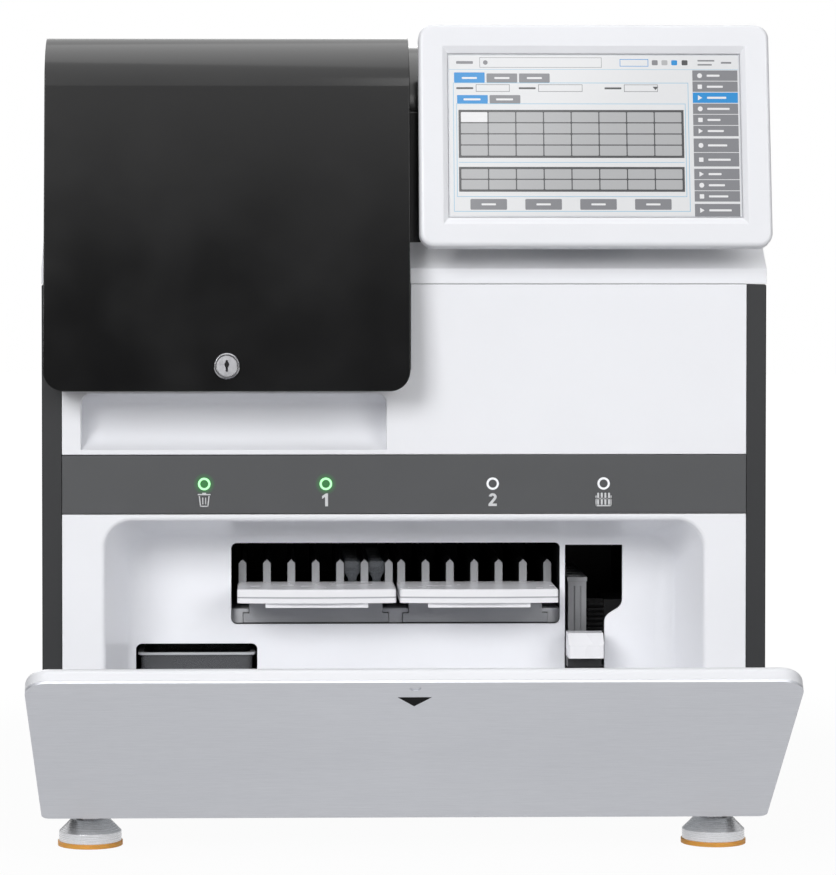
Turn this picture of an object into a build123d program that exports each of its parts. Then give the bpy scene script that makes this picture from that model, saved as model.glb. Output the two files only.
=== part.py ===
from build123d import *
from math import atan, cos, degrees, radians, sin, tan
import os

os.makedirs("parts", exist_ok=True)

# A bench-top immunoassay analyzer. X runs to the right, Y to the back and Z up, in millimetres.
# Depths are measured back from the front plane, which carries the fascias.

# Body
body_width = 560.0
body_depth = 600.0
body_bottom = 31.0
side_strip = 15.2          # front width of each side panel
seam = 0.4                 # joint line between neighbouring skins
skin = 2.5                 # moulded wall
sheet = 1.5                # sheet metal wall
return_depth = 12.0        # rearward edge of each fascia
fascia_bottom = 46.0
band_bottom = 263.1
band_top = 308.6
fascia_top = 440.8
shoulder_top = 473.0
shell_top = 574.5
housing_top = 629.5
upper_setback = 26.0       # black housing behind the front plane
cove_start = 452.5
cove_radius = 25.0
top_radius = 55.0
top_side_radius = 12.0

# Fold-down door
door_length = 231.5
door_thickness = 14.0
door_rise = 0.5            # door foot above the underside of the body
door_skin = 2.0
door_gap = 3.0             # door behind face to front plane when shut
door_open_angle = 56.5
door_top_radius = 18.0
door_bottom_radius = 6.0
door_recess = 4.0
door_border = 16.0
dimple_diameter = 8.0
dimple_drop = 9.0
door_hinge_x = 200.0
door_ear_width = 10.0
door_pin_diameter = 6.0
door_pin_reach = 12.0
running_gap = 0.05         # radial gap of pins and shafts

# Tub recess in the lower fascia
tub_width = 463.6
tub_top = 257.7
tub_bottom = 62.0
tub_depth = 70.0
tub_draft = 17.5
tub_corner = 21.0
tub_blend = 16.0
tub_lip = 2.5

# Openings in the back of the tub
tray_open_left = -134.9
tray_open_right = 126.1
tray_open_bottom = 170.5
tray_open_top = 235.2
tray_open_corner = 4.5
rack_open_left = 130.2
rack_open_right = 175.8
rack_open_step = 161.6
rack_open_bottom = 122.0
rack_open_top = 233.3
rack_step_top = 190.3
rack_step_bottom = 171.0
waste_open_left = -210.3
waste_open_right = -114.3
waste_open_bottom = 84.0
waste_open_top = 155.2

# Grip scoop in the upper fascia
scoop_left = -250.0
scoop_right = -14.0
scoop_bottom = 312.5
scoop_top = 356.4
scoop_depth = 26.0
scoop_corner = 8.0

# Ring lamps
lamp_height = 286.3
lamp_x = (-154.9, -61.0, 68.0, 153.9)
lamp_proud = 0.3
lamp_outer = 9.6
lamp_inner = 5.2
lamp_depth = 1.4

# Flip cover over the work bay
cover_left = -276.7
cover_right = 2.9
cover_bottom = 359.0
cover_top = 633.0
cover_wall = 3.0
cover_front_bottom = 35.0  # how far the lower edge stands in front of the front plane
cover_slant = 5.93
cover_nose_radius = 45.0
cover_corner = 15.5
cover_gap = 1.0
cover_return = 15.0
cover_skirt = 475.0        # lower edge of the cheeks behind the front plane
cover_rear = 392.0
cover_rear_lip = 43.0
cover_chamfer = 19.0

# Cover hinges
cover_hinge_depth = 400.0
cover_hinge_height = 622.0
cover_hinge_x = (-230.0, -44.0)
cover_knuckle = 6.0
cover_knuckle_width = 20.0
cover_ear_width = 8.0
cover_pin_diameter = 6.0

# Work bay under the cover
bay_left = -264.8
bay_right = 4.2
bay_depth = 411.0
bay_sill = 374.0
deck_top = 378.5
deck_thickness = 3.0
liner_wall = 2.0

# Cam lock
lock_height = 378.0
lock_head = 20.0
lock_body_diameter = 16.0
lock_face = 15.4
lock_plug_diameter = 11.0
lock_head_proud = 3.0
lock_body_length = 17.0
lock_plug_length = 23.0
lock_spindle = 8.0
cam_thickness = 2.5
cam_reach = 11.0
cam_width = 8.0
cam_hub = 12.0
keyway_length = 9.0
keyway_width = 1.6
strike_width = 16.0
strike_top = 371.0
strike_base = 361.5
strike_reach = 13.5

# Monitor
monitor_width = 270.0
monitor_height = 174.0
monitor_x = 145.0
monitor_z = 555.0
monitor_forward = 20.0     # face centre in front of the front plane
monitor_lean = 10.0
monitor_corner = 11.0
bezel_depth = 12.0
bezel_edge = 3.5
bevel_width = 233.7
bevel_height = 139.5
window_width = 224.4
window_height = 127.2
bevel_depth = 3.0
screen_thickness = 6.8     # touch glass with the display bonded behind it
glass_overlap = 3.0
monitor_back_depth = 14.0
monitor_back_inset = 5.0
monitor_back_taper = 22.0
yoke_half_width = 22.0
yoke_plate = 3.0
monitor_axis_depth = 15.0
monitor_axis_height = 553.0
monitor_knuckle = 5.0
monitor_pin_diameter = 6.0
bracket_ear = 6.0

# Reagent trays
tray_centres = (-67.65, 59.25)
tray_width = 124.0
tray_front = 20.0
tray_rib_start = 90.0
tray_back = 285.0
carrier_front = 75.0
carrier_bottom = 171.3
carrier_flange = 115.4
carrier_flange_height = 7.4
carrier_web = 106.0
carrier_top = 190.6
handle_bottom = 191.7
handle_top = 202.4
handle_bow = 4.0
handle_lip_width = 80.0
handle_lip_drop = 3.7
rib_count = 7
rib_pitch = 19.5
rib_width = 6.0
rib_top = 220.2
rib_notch = 3.0
comb_floor = 3.0
strip_positions = (4, 5)
strip_width = 12.6
strip_length = 160.0
strip_wells = 6

# Rails under the trays
rail_gap = 0.4
rail_top = 182.0
rail_start = 78.0

# Waste bin
bin_left = -209.0
bin_right = -116.0
bin_bottom = 88.0
bin_rim = 148.3
bin_front = 68.0
bin_back = 262.0
bin_wall = 2.0
bin_corner = 6.0
bin_draft = 2.0

# Sample rack and its slide
rack_left = 135.3
rack_width = 14.7
rack_bottom = 146.0
rack_top = 201.4
rack_front = 100.0
rack_length = 132.0
rack_positions = 5
rack_bore = 12.2
rack_cap = 3.4
rack_cap_overhang = 0.6
slide_left = 131.0
slide_right = 157.6
slide_bottom = 138.0
slide_front = 52.0
slide_back = 285.0
grip_left = 130.4
grip_right = 158.2
grip_bottom = 146.4
grip_top = 165.5
grip_front = 36.0
grip_back = 62.0
grip_chamfer = 9.0
reader_left = 167.0
reader_right = 186.0
reader_bottom = 163.0
reader_top = 184.0
reader_front = 128.0
reader_back = 190.0

# Inner sheet metal
loader_back = 305.0
loader_foot = 10.0
channel_right = 192.0
channel_floor = 136.0
channel_top = 236.0
post_width = 24.0
post_leg = 9.0
channel_clear = 8.0
channel_height = 8.0
rail_height = 20.0

# Vent slots
vent_length = 74.0
vent_width = 4.0
vent_pitch = 88.0
vent_row = 12.0

# Levelling feet
foot_x = 245.5
foot_inset = 45.0
foot_pad_diameter = 51.0
foot_pad_height = 3.5
foot_diameter = 49.0
foot_cylinder = 7.7
foot_cone = 9.5
foot_cone_top = 30.0
stud_diameter = 10.0
nut_across_flats = 19.0
nut_height = 7.0
foot_boss = 22.0
foot_boss_height = 12.0

# Incubator and carousel
carousel_x = -134.0
carousel_depth = 176.0
incubator_diameter = 204.0
incubator_height = 46.0
incubator_wall = 9.0
incubator_floor = 10.0
carousel_diameter = 182.0
carousel_thickness = 30.0
carousel_gap = 1.0
carousel_shaft = 12.0
cuvette_count = 16
cuvette_circle = 156.0
cuvette_size = 7.0
cuvette_proud = 3.0
motor_size = 57.0
motor_length = 52.0

# Pipettor
pipettor_x = -44.0
pipettor_depth = 332.0
column_diameter = 44.0
column_height = 70.0
shaft_diameter = 14.0
seat_gap = 0.3             # between the shaft's end and the arm
arm_height = 535.0
arm_thickness = 26.0
arm_length = 110.0
arm_width = 34.0
probe_diameter = 2.4
probe_tip = 442.0
lift_travel = 30.0

# Wash station, detector and mains parts
cup_top = 430.0
cup_bore = 10.0
cup_depth = 36.0
station_width = 44.0
station_depth = 50.0
detector_left = -256.0
detector_right = -200.0
detector_front = 296.0
detector_back = 392.0
detector_height = 70.0
tube_diameter = 36.0
tube_height = 66.0
supply_width = 130.0
supply_depth = 200.0
supply_height = 62.0
supply_left = -226.0
supply_inset = 50.0
inlet_x = -200.0
inlet_z = 90.0
inlet_width = 27.0
inlet_height = 20.0
inlet_flange = 3.0
inlet_wall = 2.0
inlet_body = 24.0
blade_pitch = 7.0
module_width = 44.0        # inlet and switch share one module
switch_offset = 21.5
switch_width = 13.0
switch_height = 16.0
rocker_depth = 9.0
rocker_gap = 0.5
rocker_proud = 2.2
rocker_tip = 6.4
rocker_root = 4.0
trunnion = 4.0
trunnion_length = 16.0

# Places worked out from the sizes above
half = body_width / 2
inner_half = half - side_strip - seam
lean = radians(door_open_angle)
axis_forward = door_gap + door_thickness / 2
door_axis_z = body_bottom + door_rise + door_thickness / 2
door_ear_radius = door_thickness / 2 - door_skin - seam
door_arm = door_length - door_thickness / 2
door_reach = axis_forward + door_arm * sin(lean) + door_thickness / 2 * cos(lean)
rear_reach = inlet_flange + rocker_proud
front_y = (door_reach - body_depth - rear_reach) / 2
back_y = front_y + body_depth
deck_bottom = deck_top - deck_thickness
cover_mid = (cover_left + cover_right) / 2
switch_x = inlet_x + switch_offset
module_x = inlet_x - inlet_width / 2 + module_width / 2
rocker_pivot = back_y - 2.0
slant = radians(cover_slant)


def at(depth):
    """The Y of a depth behind the front plane."""
    return front_y + depth


def wall_plane(depth):
    """An upright plane, local x to the right and local y up. A positive extrusion comes forward."""
    return Plane.XZ.offset(-at(depth))


def side_plane(x):
    """An upright plane across X, local x to the back and local y up."""
    return Plane.YZ.offset(x)


def across(x, width):
    """An upright plane for a piece of a given width centred on x."""
    return side_plane(x - width / 2)


def block(x, y, z, mode=Mode.ADD):
    """A box given by its ends along each axis."""
    with Locations(((x[0] + x[1]) / 2, (y[0] + y[1]) / 2, (z[0] + z[1]) / 2)):
        return Box(x[1] - x[0], y[1] - y[0], z[1] - z[0], mode=mode)


def write(piece, name):
    """Label a finished piece and write it as its own file."""
    piece.label = name
    export_step(piece, f"parts/{name}.step")


# Base tray with foot bosses and a stiffening channel
foot_spots = [
    (side * foot_x, at(depth))
    for side in (-1, 1)
    for depth in (foot_inset, body_depth - foot_inset)
]
tray_flange = 30.0
tray_setback = return_depth + 2.0
with BuildPart() as base_tray:
    block(
        (-inner_half, inner_half),
        (at(tray_setback), back_y - 3 * sheet),
        (body_bottom, body_bottom + tray_flange),
    )
    fillet(base_tray.edges().filter_by(Axis.Z), 1.1 * sheet)
    offset(amount=-sheet, openings=base_tray.faces().sort_by(Axis.Z)[-1])
    block(
        (-inner_half + sheet, inner_half - sheet),
        (at(loader_back + channel_clear), at(loader_back + channel_clear) + post_width),
        (body_bottom + sheet, body_bottom + sheet + channel_height),
    )
    with BuildSketch(Plane.XY.offset(body_bottom + sheet)):
        with Locations(foot_spots):
            RegularPolygon(foot_boss / 2, 6, major_radius=False)
    extrude(amount=foot_boss_height)
    with Locations([(x, y, body_bottom) for x, y in foot_spots]):
        Cylinder(stud_diameter / 2 + running_gap, 2 * foot_boss_height, mode=Mode.SUBTRACT)
        Cylinder(
            stud_diameter / 2 + running_gap,
            foot_boss_height + 2 * sheet,
            align=(Align.CENTER, Align.CENTER, Align.MIN),
            mode=Mode.SUBTRACT,
        )
write(base_tray.part, "base_tray")

# Levelling feet: rubber pad, turned base with its stud, and the lock nut
foot_top = foot_pad_height + foot_cylinder + foot_cone
stud_top = body_bottom + sheet + foot_boss_height
with BuildPart() as foot_pads:
    with Locations([(x, y, 0) for x, y in foot_spots]):
        Cylinder(foot_pad_diameter / 2, foot_pad_height, align=(Align.CENTER, Align.CENTER, Align.MIN))
write(foot_pads.part, "foot_pads")

with BuildPart() as foot_bases:
    with Locations([(x, y, foot_pad_height) for x, y in foot_spots]):
        Cylinder(foot_diameter / 2, foot_cylinder, align=(Align.CENTER, Align.CENTER, Align.MIN))
    with Locations([(x, y, foot_pad_height + foot_cylinder) for x, y in foot_spots]):
        Cone(foot_diameter / 2, foot_cone_top / 2, foot_cone, align=(Align.CENTER, Align.CENTER, Align.MIN))
    with Locations([(x, y, foot_top) for x, y in foot_spots]):
        Cylinder(stud_diameter / 2, stud_top - foot_top, align=(Align.CENTER, Align.CENTER, Align.MIN))
write(foot_bases.part, "foot_bases")

with BuildPart() as foot_nuts:
    with BuildSketch(Plane.XY.offset(foot_top)):
        with Locations(foot_spots):
            RegularPolygon(nut_across_flats / 2, 6, major_radius=False)
            Circle(stud_diameter / 2 + running_gap, mode=Mode.SUBTRACT)
    extrude(amount=nut_height)
write(foot_nuts.part, "foot_nuts")

# Welded frame: four angle posts and a rail round their tops
post_bottom = body_bottom + sheet
frame_top = fascia_top - seam
post_fronts = (at(return_depth + 2 * sheet + 1), back_y - 4 * sheet - post_width)
frame_half = inner_half - sheet - seam
with BuildPart() as frame:
    for side in (-1, 1):
        outer = side * frame_half
        inner = outer - side * post_leg
        face = outer - side * sheet
        for y in post_fronts:
            block(sorted((outer, face)), (y, y + post_width), (post_bottom, frame_top))
            rear = y > 0
            leg = y + post_width - sheet if rear else y
            beside_bay = side < 0 and not rear
            leg_top = deck_bottom - seam if beside_bay else frame_top
            block(sorted((outer, inner)), (leg, leg + sheet), (post_bottom, leg_top))
        block(
            sorted((outer, face)),
            (post_fronts[0], post_fronts[1] + post_width),
            (frame_top - rail_height, frame_top),
        )
    block(
        (-frame_half, frame_half),
        (post_fronts[1] + post_width - sheet, post_fronts[1] + post_width),
        (frame_top - rail_height, frame_top),
    )
write(frame.part, "frame")


# Side panels: a folded skin with returns all round and louvre slots near the back
def side_panel(side):
    outer = side * half
    inner = side * (half - side_strip)
    with BuildPart() as panel:
        block(sorted((outer, inner)), (front_y, back_y), (body_bottom, fascia_top - seam))
        fillet(panel.faces().sort_by(Axis.X)[0 if side < 0 else -1].edges(), 2.0)
        block(
            sorted((outer - side * skin, inner - side * 1)),
            (front_y + skin, back_y - skin),
            (body_bottom + skin, fascia_top - seam - skin),
            mode=Mode.SUBTRACT,
        )
        with BuildSketch(side_plane(outer - side * side_strip / 2)):
            with Locations((at(body_depth * 0.76), 150)):
                with GridLocations(vent_pitch, vent_row, 2, 8):
                    Rectangle(vent_length, vent_width)
        extrude(amount=side * side_strip, mode=Mode.SUBTRACT)
    return panel.part


for side, name in ((-1, "left"), (1, "right")):
    write(side_panel(side), f"side_panel_{name}")

# Rear panel with vents, the mains inlet and its switch
with BuildPart() as rear_panel:
    with BuildSketch(wall_plane(body_depth - sheet)):
        with Locations((0, (fascia_bottom + fascia_top) / 2)):
            RectangleRounded(2 * inner_half, fascia_top - fascia_bottom - 2 * seam, 4)
        with Locations((120, 300)):
            with GridLocations(vent_pitch, vent_row, 2, 9):
                Rectangle(vent_length, vent_width, mode=Mode.SUBTRACT)
        with Locations((module_x, inlet_z)):
            Rectangle(module_width + 2 * running_gap, inlet_height + 2 * running_gap, mode=Mode.SUBTRACT)
    extrude(amount=-sheet)
write(rear_panel.part, "rear_panel")


def socket_plane(depth):
    """A plane that faces the back, at a depth behind the front plane."""
    return Plane(origin=(0, at(depth), 0), x_dir=(-1, 0, 0), z_dir=(0, 1, 0))


with BuildPart() as power_inlet:
    with BuildSketch(socket_plane(body_depth)):
        with Locations((-module_x, inlet_z)):
            RectangleRounded(
                module_width + 2 * inlet_flange,
                inlet_height + 2 * inlet_flange,
                inlet_wall,
            )
    extrude(amount=inlet_flange)
    with BuildSketch(socket_plane(body_depth)):
        with Locations((-module_x, inlet_z)):
            Rectangle(module_width, inlet_height)
    extrude(amount=-inlet_body)
    with BuildSketch(socket_plane(body_depth + inlet_flange)):
        with Locations((-inlet_x, inlet_z)):
            RectangleRounded(inlet_width - 2 * inlet_wall, inlet_height - 2 * inlet_wall, inlet_wall)
    extrude(amount=-inlet_body, mode=Mode.SUBTRACT)
    with BuildSketch(socket_plane(body_depth + inlet_flange)):
        with Locations((-switch_x, inlet_z)):
            Rectangle(switch_width, switch_height)
    extrude(amount=-inlet_body, mode=Mode.SUBTRACT)
    with BuildSketch(socket_plane(body_depth)):
        with Locations((-inlet_x, inlet_z)):
            with Locations((-blade_pitch, -2), (0, 2), (blade_pitch, -2)):
                Rectangle(2, 4)
    extrude(amount=-inlet_body)
    with BuildSketch(across(switch_x, trunnion_length + 2 * running_gap)):
        with Locations((rocker_pivot, inlet_z)):
            Circle(trunnion / 2 + running_gap)
    extrude(amount=trunnion_length + 2 * running_gap, mode=Mode.SUBTRACT)
write(power_inlet.part, "power_inlet")

# Rocker of the mains switch, which tilts in its well
rocker_face = back_y + inlet_flange
with BuildPart() as power_rocker:
    with BuildSketch(side_plane(switch_x)):
        with BuildLine():
            Polyline(
                (back_y - rocker_depth, inlet_z - rocker_root),
                (rocker_face + rocker_proud, inlet_z - rocker_tip),
                (rocker_face - rocker_gap, inlet_z),
                (rocker_face + rocker_proud, inlet_z + rocker_tip),
                (back_y - rocker_depth, inlet_z + rocker_root),
                close=True,
            )
        make_face()
    extrude(amount=switch_width / 2 - rocker_gap, both=True)
    with BuildSketch(across(switch_x, trunnion_length)):
        with Locations((rocker_pivot, inlet_z)):
            Circle(trunnion / 2)
    extrude(amount=trunnion_length)
write(power_rocker.part, "power_rocker")

# Upper fascia: an L-shaped moulding round the work bay, with the grip scoop
def upper_outline(inset):
    """The fascia's outline seen from the front, drawn in by an inset."""
    left = -inner_half + inset
    right = inner_half - inset
    bottom = band_top + seam + inset
    top = fascia_top - seam - inset
    with BuildSketch() as outline:
        with BuildLine():
            Polyline(
                (left, bottom),
                (right, bottom),
                (right, top),
                (bay_right + seam + inset, top),
                (bay_right + seam + inset, bay_sill - inset),
                (left, bay_sill - inset),
                close=True,
            )
        make_face()
    return outline.sketch


def scoop(grow):
    """The space of the scoop, deep under its upper edge and run out at its lower one."""
    with BuildPart() as space:
        with BuildSketch(side_plane(scoop_left - grow)):
            with BuildLine():
                low = (front_y, scoop_bottom - grow)
                deep = (at(scoop_depth + grow), scoop_top - scoop_corner)
                top = (at(scoop_depth + grow), scoop_top + grow)
                Line(low, (front_y, scoop_top + grow))
                Line((front_y, scoop_top + grow), top)
                Line(top, deep)
                TangentArc(deep, low, tangent=(0, -1))
            make_face()
        extrude(amount=scoop_right - scoop_left + 2 * grow)
        ends = space.faces().filter_by(Axis.X)
        roof = space.faces().sort_by(Axis.Z)[-1]
        fillet([e for face in ends for e in face.edges() if e in roof.edges()], scoop_corner)
    return space.part


scoop_shell = scoop(skin)
scoop_space = scoop(0)
with BuildPart() as upper_fascia:
    with BuildSketch(wall_plane(0)):
        add(upper_outline(0))
    extrude(amount=-return_depth)
    with BuildSketch(wall_plane(skin)):
        add(upper_outline(skin))
    extrude(amount=-return_depth, mode=Mode.SUBTRACT)
    add(scoop_shell)
    add(scoop_space, mode=Mode.SUBTRACT)
write(upper_fascia.part, "upper_fascia")

# Indicator band with a ring groove for each lamp
with BuildPart() as indicator_band:
    with BuildSketch(wall_plane(0)):
        with Locations((0, (band_bottom + band_top) / 2)):
            Rectangle(2 * inner_half, band_top - band_bottom - seam)
    extrude(amount=-return_depth)
    with BuildSketch(wall_plane(skin)):
        with Locations((0, (band_bottom + band_top) / 2)):
            Rectangle(2 * (inner_half - skin), band_top - band_bottom - seam - 2 * skin)
    extrude(amount=-return_depth, mode=Mode.SUBTRACT)
    with BuildSketch(wall_plane(0)):
        with Locations([(x, lamp_height) for x in lamp_x]):
            Circle(lamp_outer / 2 + running_gap)
            Circle(lamp_inner / 2 - running_gap, mode=Mode.SUBTRACT)
    extrude(amount=-lamp_depth, mode=Mode.SUBTRACT)
write(indicator_band.part, "indicator_band")


# Ring lamps, seated in their grooves and a little proud of the band
with BuildPart() as lamp_rings:
    with BuildSketch(wall_plane(lamp_depth)):
        with Locations([(x, lamp_height) for x in lamp_x]):
            Circle(lamp_outer / 2)
            Circle(lamp_inner / 2, mode=Mode.SUBTRACT)
    extrude(amount=lamp_depth + lamp_proud)
write(lamp_rings.part, "lamp_rings")


# Lower fascia with its deep drafted tub
def tub(grow):
    """The space of the tub, narrowing to its back wall, with a large blend there."""
    middle = (tub_top + tub_bottom) / 2
    height = tub_top - tub_bottom
    with BuildPart() as space:
        with BuildSketch(wall_plane(0)):
            with Locations((0, middle)):
                RectangleRounded(tub_width + 2 * grow, height + 2 * grow, tub_corner + grow)
        with BuildSketch(wall_plane(tub_depth + grow)):
            with Locations((0, middle)):
                RectangleRounded(
                    tub_width - 2 * tub_draft + 2 * grow,
                    height - 2 * tub_draft + 2 * grow,
                    tub_corner + grow,
                )
        loft(ruled=True)
        fillet(space.faces().sort_by(Axis.Y)[-1].edges(), tub_blend + grow)
    return space.part


tub_shell = tub(skin)
tub_space = tub(0)
arc_share = 1 - cos(radians(45))
with BuildPart() as tub_mouth_space:
    for depth, grow in (
        (0, tub_lip),
        (tub_lip * arc_share, tub_lip * arc_share),
        (1.4 * tub_lip, -0.5 * tub_lip),
    ):
        with BuildSketch(wall_plane(depth)):
            with Locations((0, (tub_top + tub_bottom) / 2)):
                RectangleRounded(tub_width + 2 * grow, tub_top - tub_bottom + 2 * grow, tub_corner + grow)
    loft(ruled=True)
tub_mouth = tub_mouth_space.part
lower_height = band_bottom - seam - fascia_bottom
with BuildPart() as lower_fascia:
    with BuildSketch(wall_plane(0)):
        with Locations((0, fascia_bottom + lower_height / 2)):
            Rectangle(2 * inner_half, lower_height)
    extrude(amount=-return_depth)
    with BuildSketch(wall_plane(skin)):
        with Locations((0, fascia_bottom + lower_height / 2)):
            Rectangle(2 * (inner_half - skin), lower_height - 2 * skin)
    extrude(amount=-return_depth, mode=Mode.SUBTRACT)
    add(tub_shell)
    add(tub_space, mode=Mode.SUBTRACT)
    add(tub_mouth, mode=Mode.SUBTRACT)
    with BuildSketch(wall_plane(tub_depth - 2 * skin)):
        with Locations(((tray_open_left + tray_open_right) / 2, (tray_open_bottom + tray_open_top) / 2)):
            RectangleRounded(
                tray_open_right - tray_open_left,
                tray_open_top - tray_open_bottom,
                tray_open_corner,
            )
        with Locations(((waste_open_left + waste_open_right) / 2, (waste_open_bottom + waste_open_top) / 2)):
            RectangleRounded(
                waste_open_right - waste_open_left,
                waste_open_top - waste_open_bottom,
                tray_open_corner,
            )
        with BuildLine():
            Polyline(
                (rack_open_step, rack_step_bottom),
                (rack_open_step, rack_open_bottom),
                (rack_open_left, rack_open_bottom),
                (rack_open_left, rack_open_top),
                (rack_open_right, rack_open_top),
                (rack_open_right, rack_step_top),
            )
            Spline(
                (rack_open_right, rack_step_top),
                (rack_open_step, rack_step_bottom),
                tangents=((0, -1), (0, -1)),
            )
        make_face()
    extrude(amount=-3 * skin, mode=Mode.SUBTRACT)
write(lower_fascia.part, "lower_fascia")


# Shoulder: a ring of white moulding with a cove along its front
def shoulder_outline(inset):
    """Side view of the shoulder, drawn in by an inset."""
    front = front_y + inset
    with BuildSketch() as outline:
        with BuildLine():
            Line((front, fascia_top), (front, cove_start + inset * 0.4))
            TangentArc(
                (front, cove_start + inset * 0.4),
                (at(cove_radius) + inset, shoulder_top),
                tangent=(1, 0.6),
            )
            Polyline(
                (at(cove_radius) + inset, shoulder_top),
                (back_y - inset, shoulder_top),
                (back_y - inset, fascia_top),
                (front, fascia_top),
            )
        make_face()
    return outline.sketch


with BuildPart() as shoulder:
    with BuildSketch(side_plane(-half)):
        add(shoulder_outline(0))
    extrude(amount=body_width)
    with BuildSketch(side_plane(bay_right + skin)):
        add(shoulder_outline(skin))
    extrude(amount=half - bay_right - 2 * skin, mode=Mode.SUBTRACT)
    block(
        (bay_left, bay_right),
        (at(-1), at(bay_depth)),
        (fascia_top - 1, shoulder_top + 1),
        mode=Mode.SUBTRACT,
    )
    block(
        (-half + skin, bay_right + 2 * skin),
        (at(bay_depth) + skin, back_y - skin),
        (fascia_top - 1, shoulder_top + 1),
        mode=Mode.SUBTRACT,
    )
    block(
        (-half + skin, bay_left - skin),
        (at(cove_radius + skin), back_y - 2 * skin),
        (fascia_top - 1, shoulder_top - skin),
        mode=Mode.SUBTRACT,
    )
write(shoulder.part, "shoulder")


# Black upper housing: an L in plan that leaves the work bay free
def plan_outline(inset):
    """The housing seen from above, drawn in by an inset."""
    left = -half + inset
    right = half - inset
    back = back_y - inset
    front = at(upper_setback) + inset
    bay_wall = bay_right + seam + inset
    bay_back = at(bay_depth) + inset
    with BuildSketch() as outline:
        with BuildLine():
            Polyline(
                (left, back),
                (left, bay_back),
                (bay_wall, bay_back),
                (bay_wall, front),
                (right, front),
                (right, back),
                close=True,
            )
        make_face()
    return outline.sketch


with BuildPart() as upper_shell:
    with BuildSketch(Plane.XY.offset(shoulder_top)):
        add(plan_outline(0))
    extrude(amount=shell_top - seam - shoulder_top)
    with BuildSketch(Plane.XY.offset(shoulder_top)):
        add(plan_outline(skin))
    extrude(amount=shell_top - shoulder_top, mode=Mode.SUBTRACT)
write(upper_shell.part, "upper_shell")


def top_space(inset):
    """The top cover's outer form, or its hollow when drawn in: a quarter-round front and softened ends."""
    low = shell_top - inset
    front = at(upper_setback) + inset
    back = back_y - inset
    sill = [(front, shell_top), (front, low)] if inset else [(front, low)]
    with BuildPart() as space:
        with BuildSketch(side_plane(-half + inset)):
            with BuildLine():
                Polyline(
                    *sill,
                    (back, low),
                    (back, housing_top - inset),
                    (front + top_radius - inset, housing_top - inset),
                )
                CenterArc((front + top_radius - inset, shell_top), top_radius - inset, 90, 90)
            make_face()
        extrude(amount=body_width - 2 * inset)
        with BuildSketch(wall_plane(0)):
            with Locations((0, (housing_top + low) / 2 - inset / 2 - top_side_radius)):
                RectangleRounded(
                    body_width - 2 * inset,
                    housing_top - low - inset + 2 * top_side_radius,
                    top_side_radius - inset,
                )
        extrude(amount=-body_depth, mode=Mode.INTERSECT)
        block(
            (-half - 1, bay_right + seam + inset),
            (front - 1, at(bay_depth) + inset),
            (low - 1, housing_top + 1),
            mode=Mode.SUBTRACT,
        )
    return space.part


top_outer = top_space(0)
top_inner = top_space(skin)
with BuildPart() as top_cover:
    add(top_outer)
    add(top_inner, mode=Mode.SUBTRACT)
write(top_cover.part, "top_cover")

# Bay liner with its deck and the hole for the carousel shaft
liner_left = -frame_half + sheet + seam
liner_top = shoulder_top - seam
with BuildPart() as bay_liner:
    block(
        (liner_left, bay_right - seam),
        (at(skin + seam), at(bay_depth - seam)),
        (deck_bottom, liner_top),
    )
    block(
        (bay_left + seam, liner_left + 1),
        (at(skin + seam), at(bay_depth - seam)),
        (liner_top - liner_wall, liner_top),
    )
    block(
        (liner_left + liner_wall, bay_right - seam - liner_wall),
        (at(-1), at(bay_depth - seam - liner_wall)),
        (deck_top, liner_top + 1),
        mode=Mode.SUBTRACT,
    )
    with Locations((carousel_x, at(carousel_depth), deck_top)):
        Cylinder(carousel_shaft, 3 * deck_thickness, mode=Mode.SUBTRACT)
write(bay_liner.part, "bay_liner")


# Flip cover: a slanted front, a round nose, a flat top and two cheeks
def cover_space(inset):
    """The cover's outer form, or the space inside it when drawn in by the wall."""
    left = cover_left + inset
    right = cover_right - inset
    bottom = cover_bottom + inset
    top = cover_top - inset
    rise = tan(slant)
    base = front_y - cover_front_bottom + inset / cos(slant)
    corner = (base + (top - cover_bottom) * rise, top)
    start = (base + (bottom - cover_bottom) * rise, bottom)
    rear = at(cover_rear) - inset
    return_end = front_y - cover_front_bottom + cover_return
    edge = front_y - cover_gap
    with BuildPart() as space:
        with BuildSketch(side_plane(left)):
            with BuildLine():
                if inset == 0:
                    Polyline(
                        start,
                        (return_end, bottom),
                        (edge, bottom + cover_chamfer),
                        (edge, cover_skirt),
                        (rear, cover_skirt),
                        (rear, top),
                    )
                else:
                    Polyline(
                        start,
                        (edge + 1, bottom),
                        (edge + 1, cover_skirt - 1),
                        (rear + 2 * inset, cover_skirt - 1),
                        (rear + 2 * inset, cover_top - cover_rear_lip),
                        (rear, cover_top - cover_rear_lip),
                        (rear, top),
                    )
                FilletPolyline((rear, top), corner, start, radius=cover_nose_radius - inset)
            make_face()
        extrude(amount=right - left)
        with BuildSketch(wall_plane(-cover_front_bottom - 1)):
            with Locations(((left + right) / 2, (bottom + cover_top) / 2)):
                RectangleRounded(right - left, cover_top - bottom, cover_corner - inset)
            with Locations(((left + right) / 2, cover_top)):
                Rectangle(right - left, cover_top - bottom)
        extrude(amount=-body_depth, mode=Mode.INTERSECT)
    return space.part


lock_spot = (cover_mid, front_y - cover_front_bottom + (lock_height - cover_bottom) * tan(slant), lock_height)
lock_plane = Plane(origin=lock_spot, x_dir=(1, 0, 0), z_dir=(0, -cos(slant), sin(slant)))
cover_outer = cover_space(0)
cover_inner = cover_space(cover_wall)
with BuildPart() as flip_cover:
    add(cover_outer)
    add(cover_inner, mode=Mode.SUBTRACT)
    with BuildSketch(lock_plane):
        Circle(lock_body_diameter / 2 + running_gap)
    extrude(amount=-3 * cover_wall, mode=Mode.SUBTRACT)
write(flip_cover.part, "flip_cover")

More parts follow.
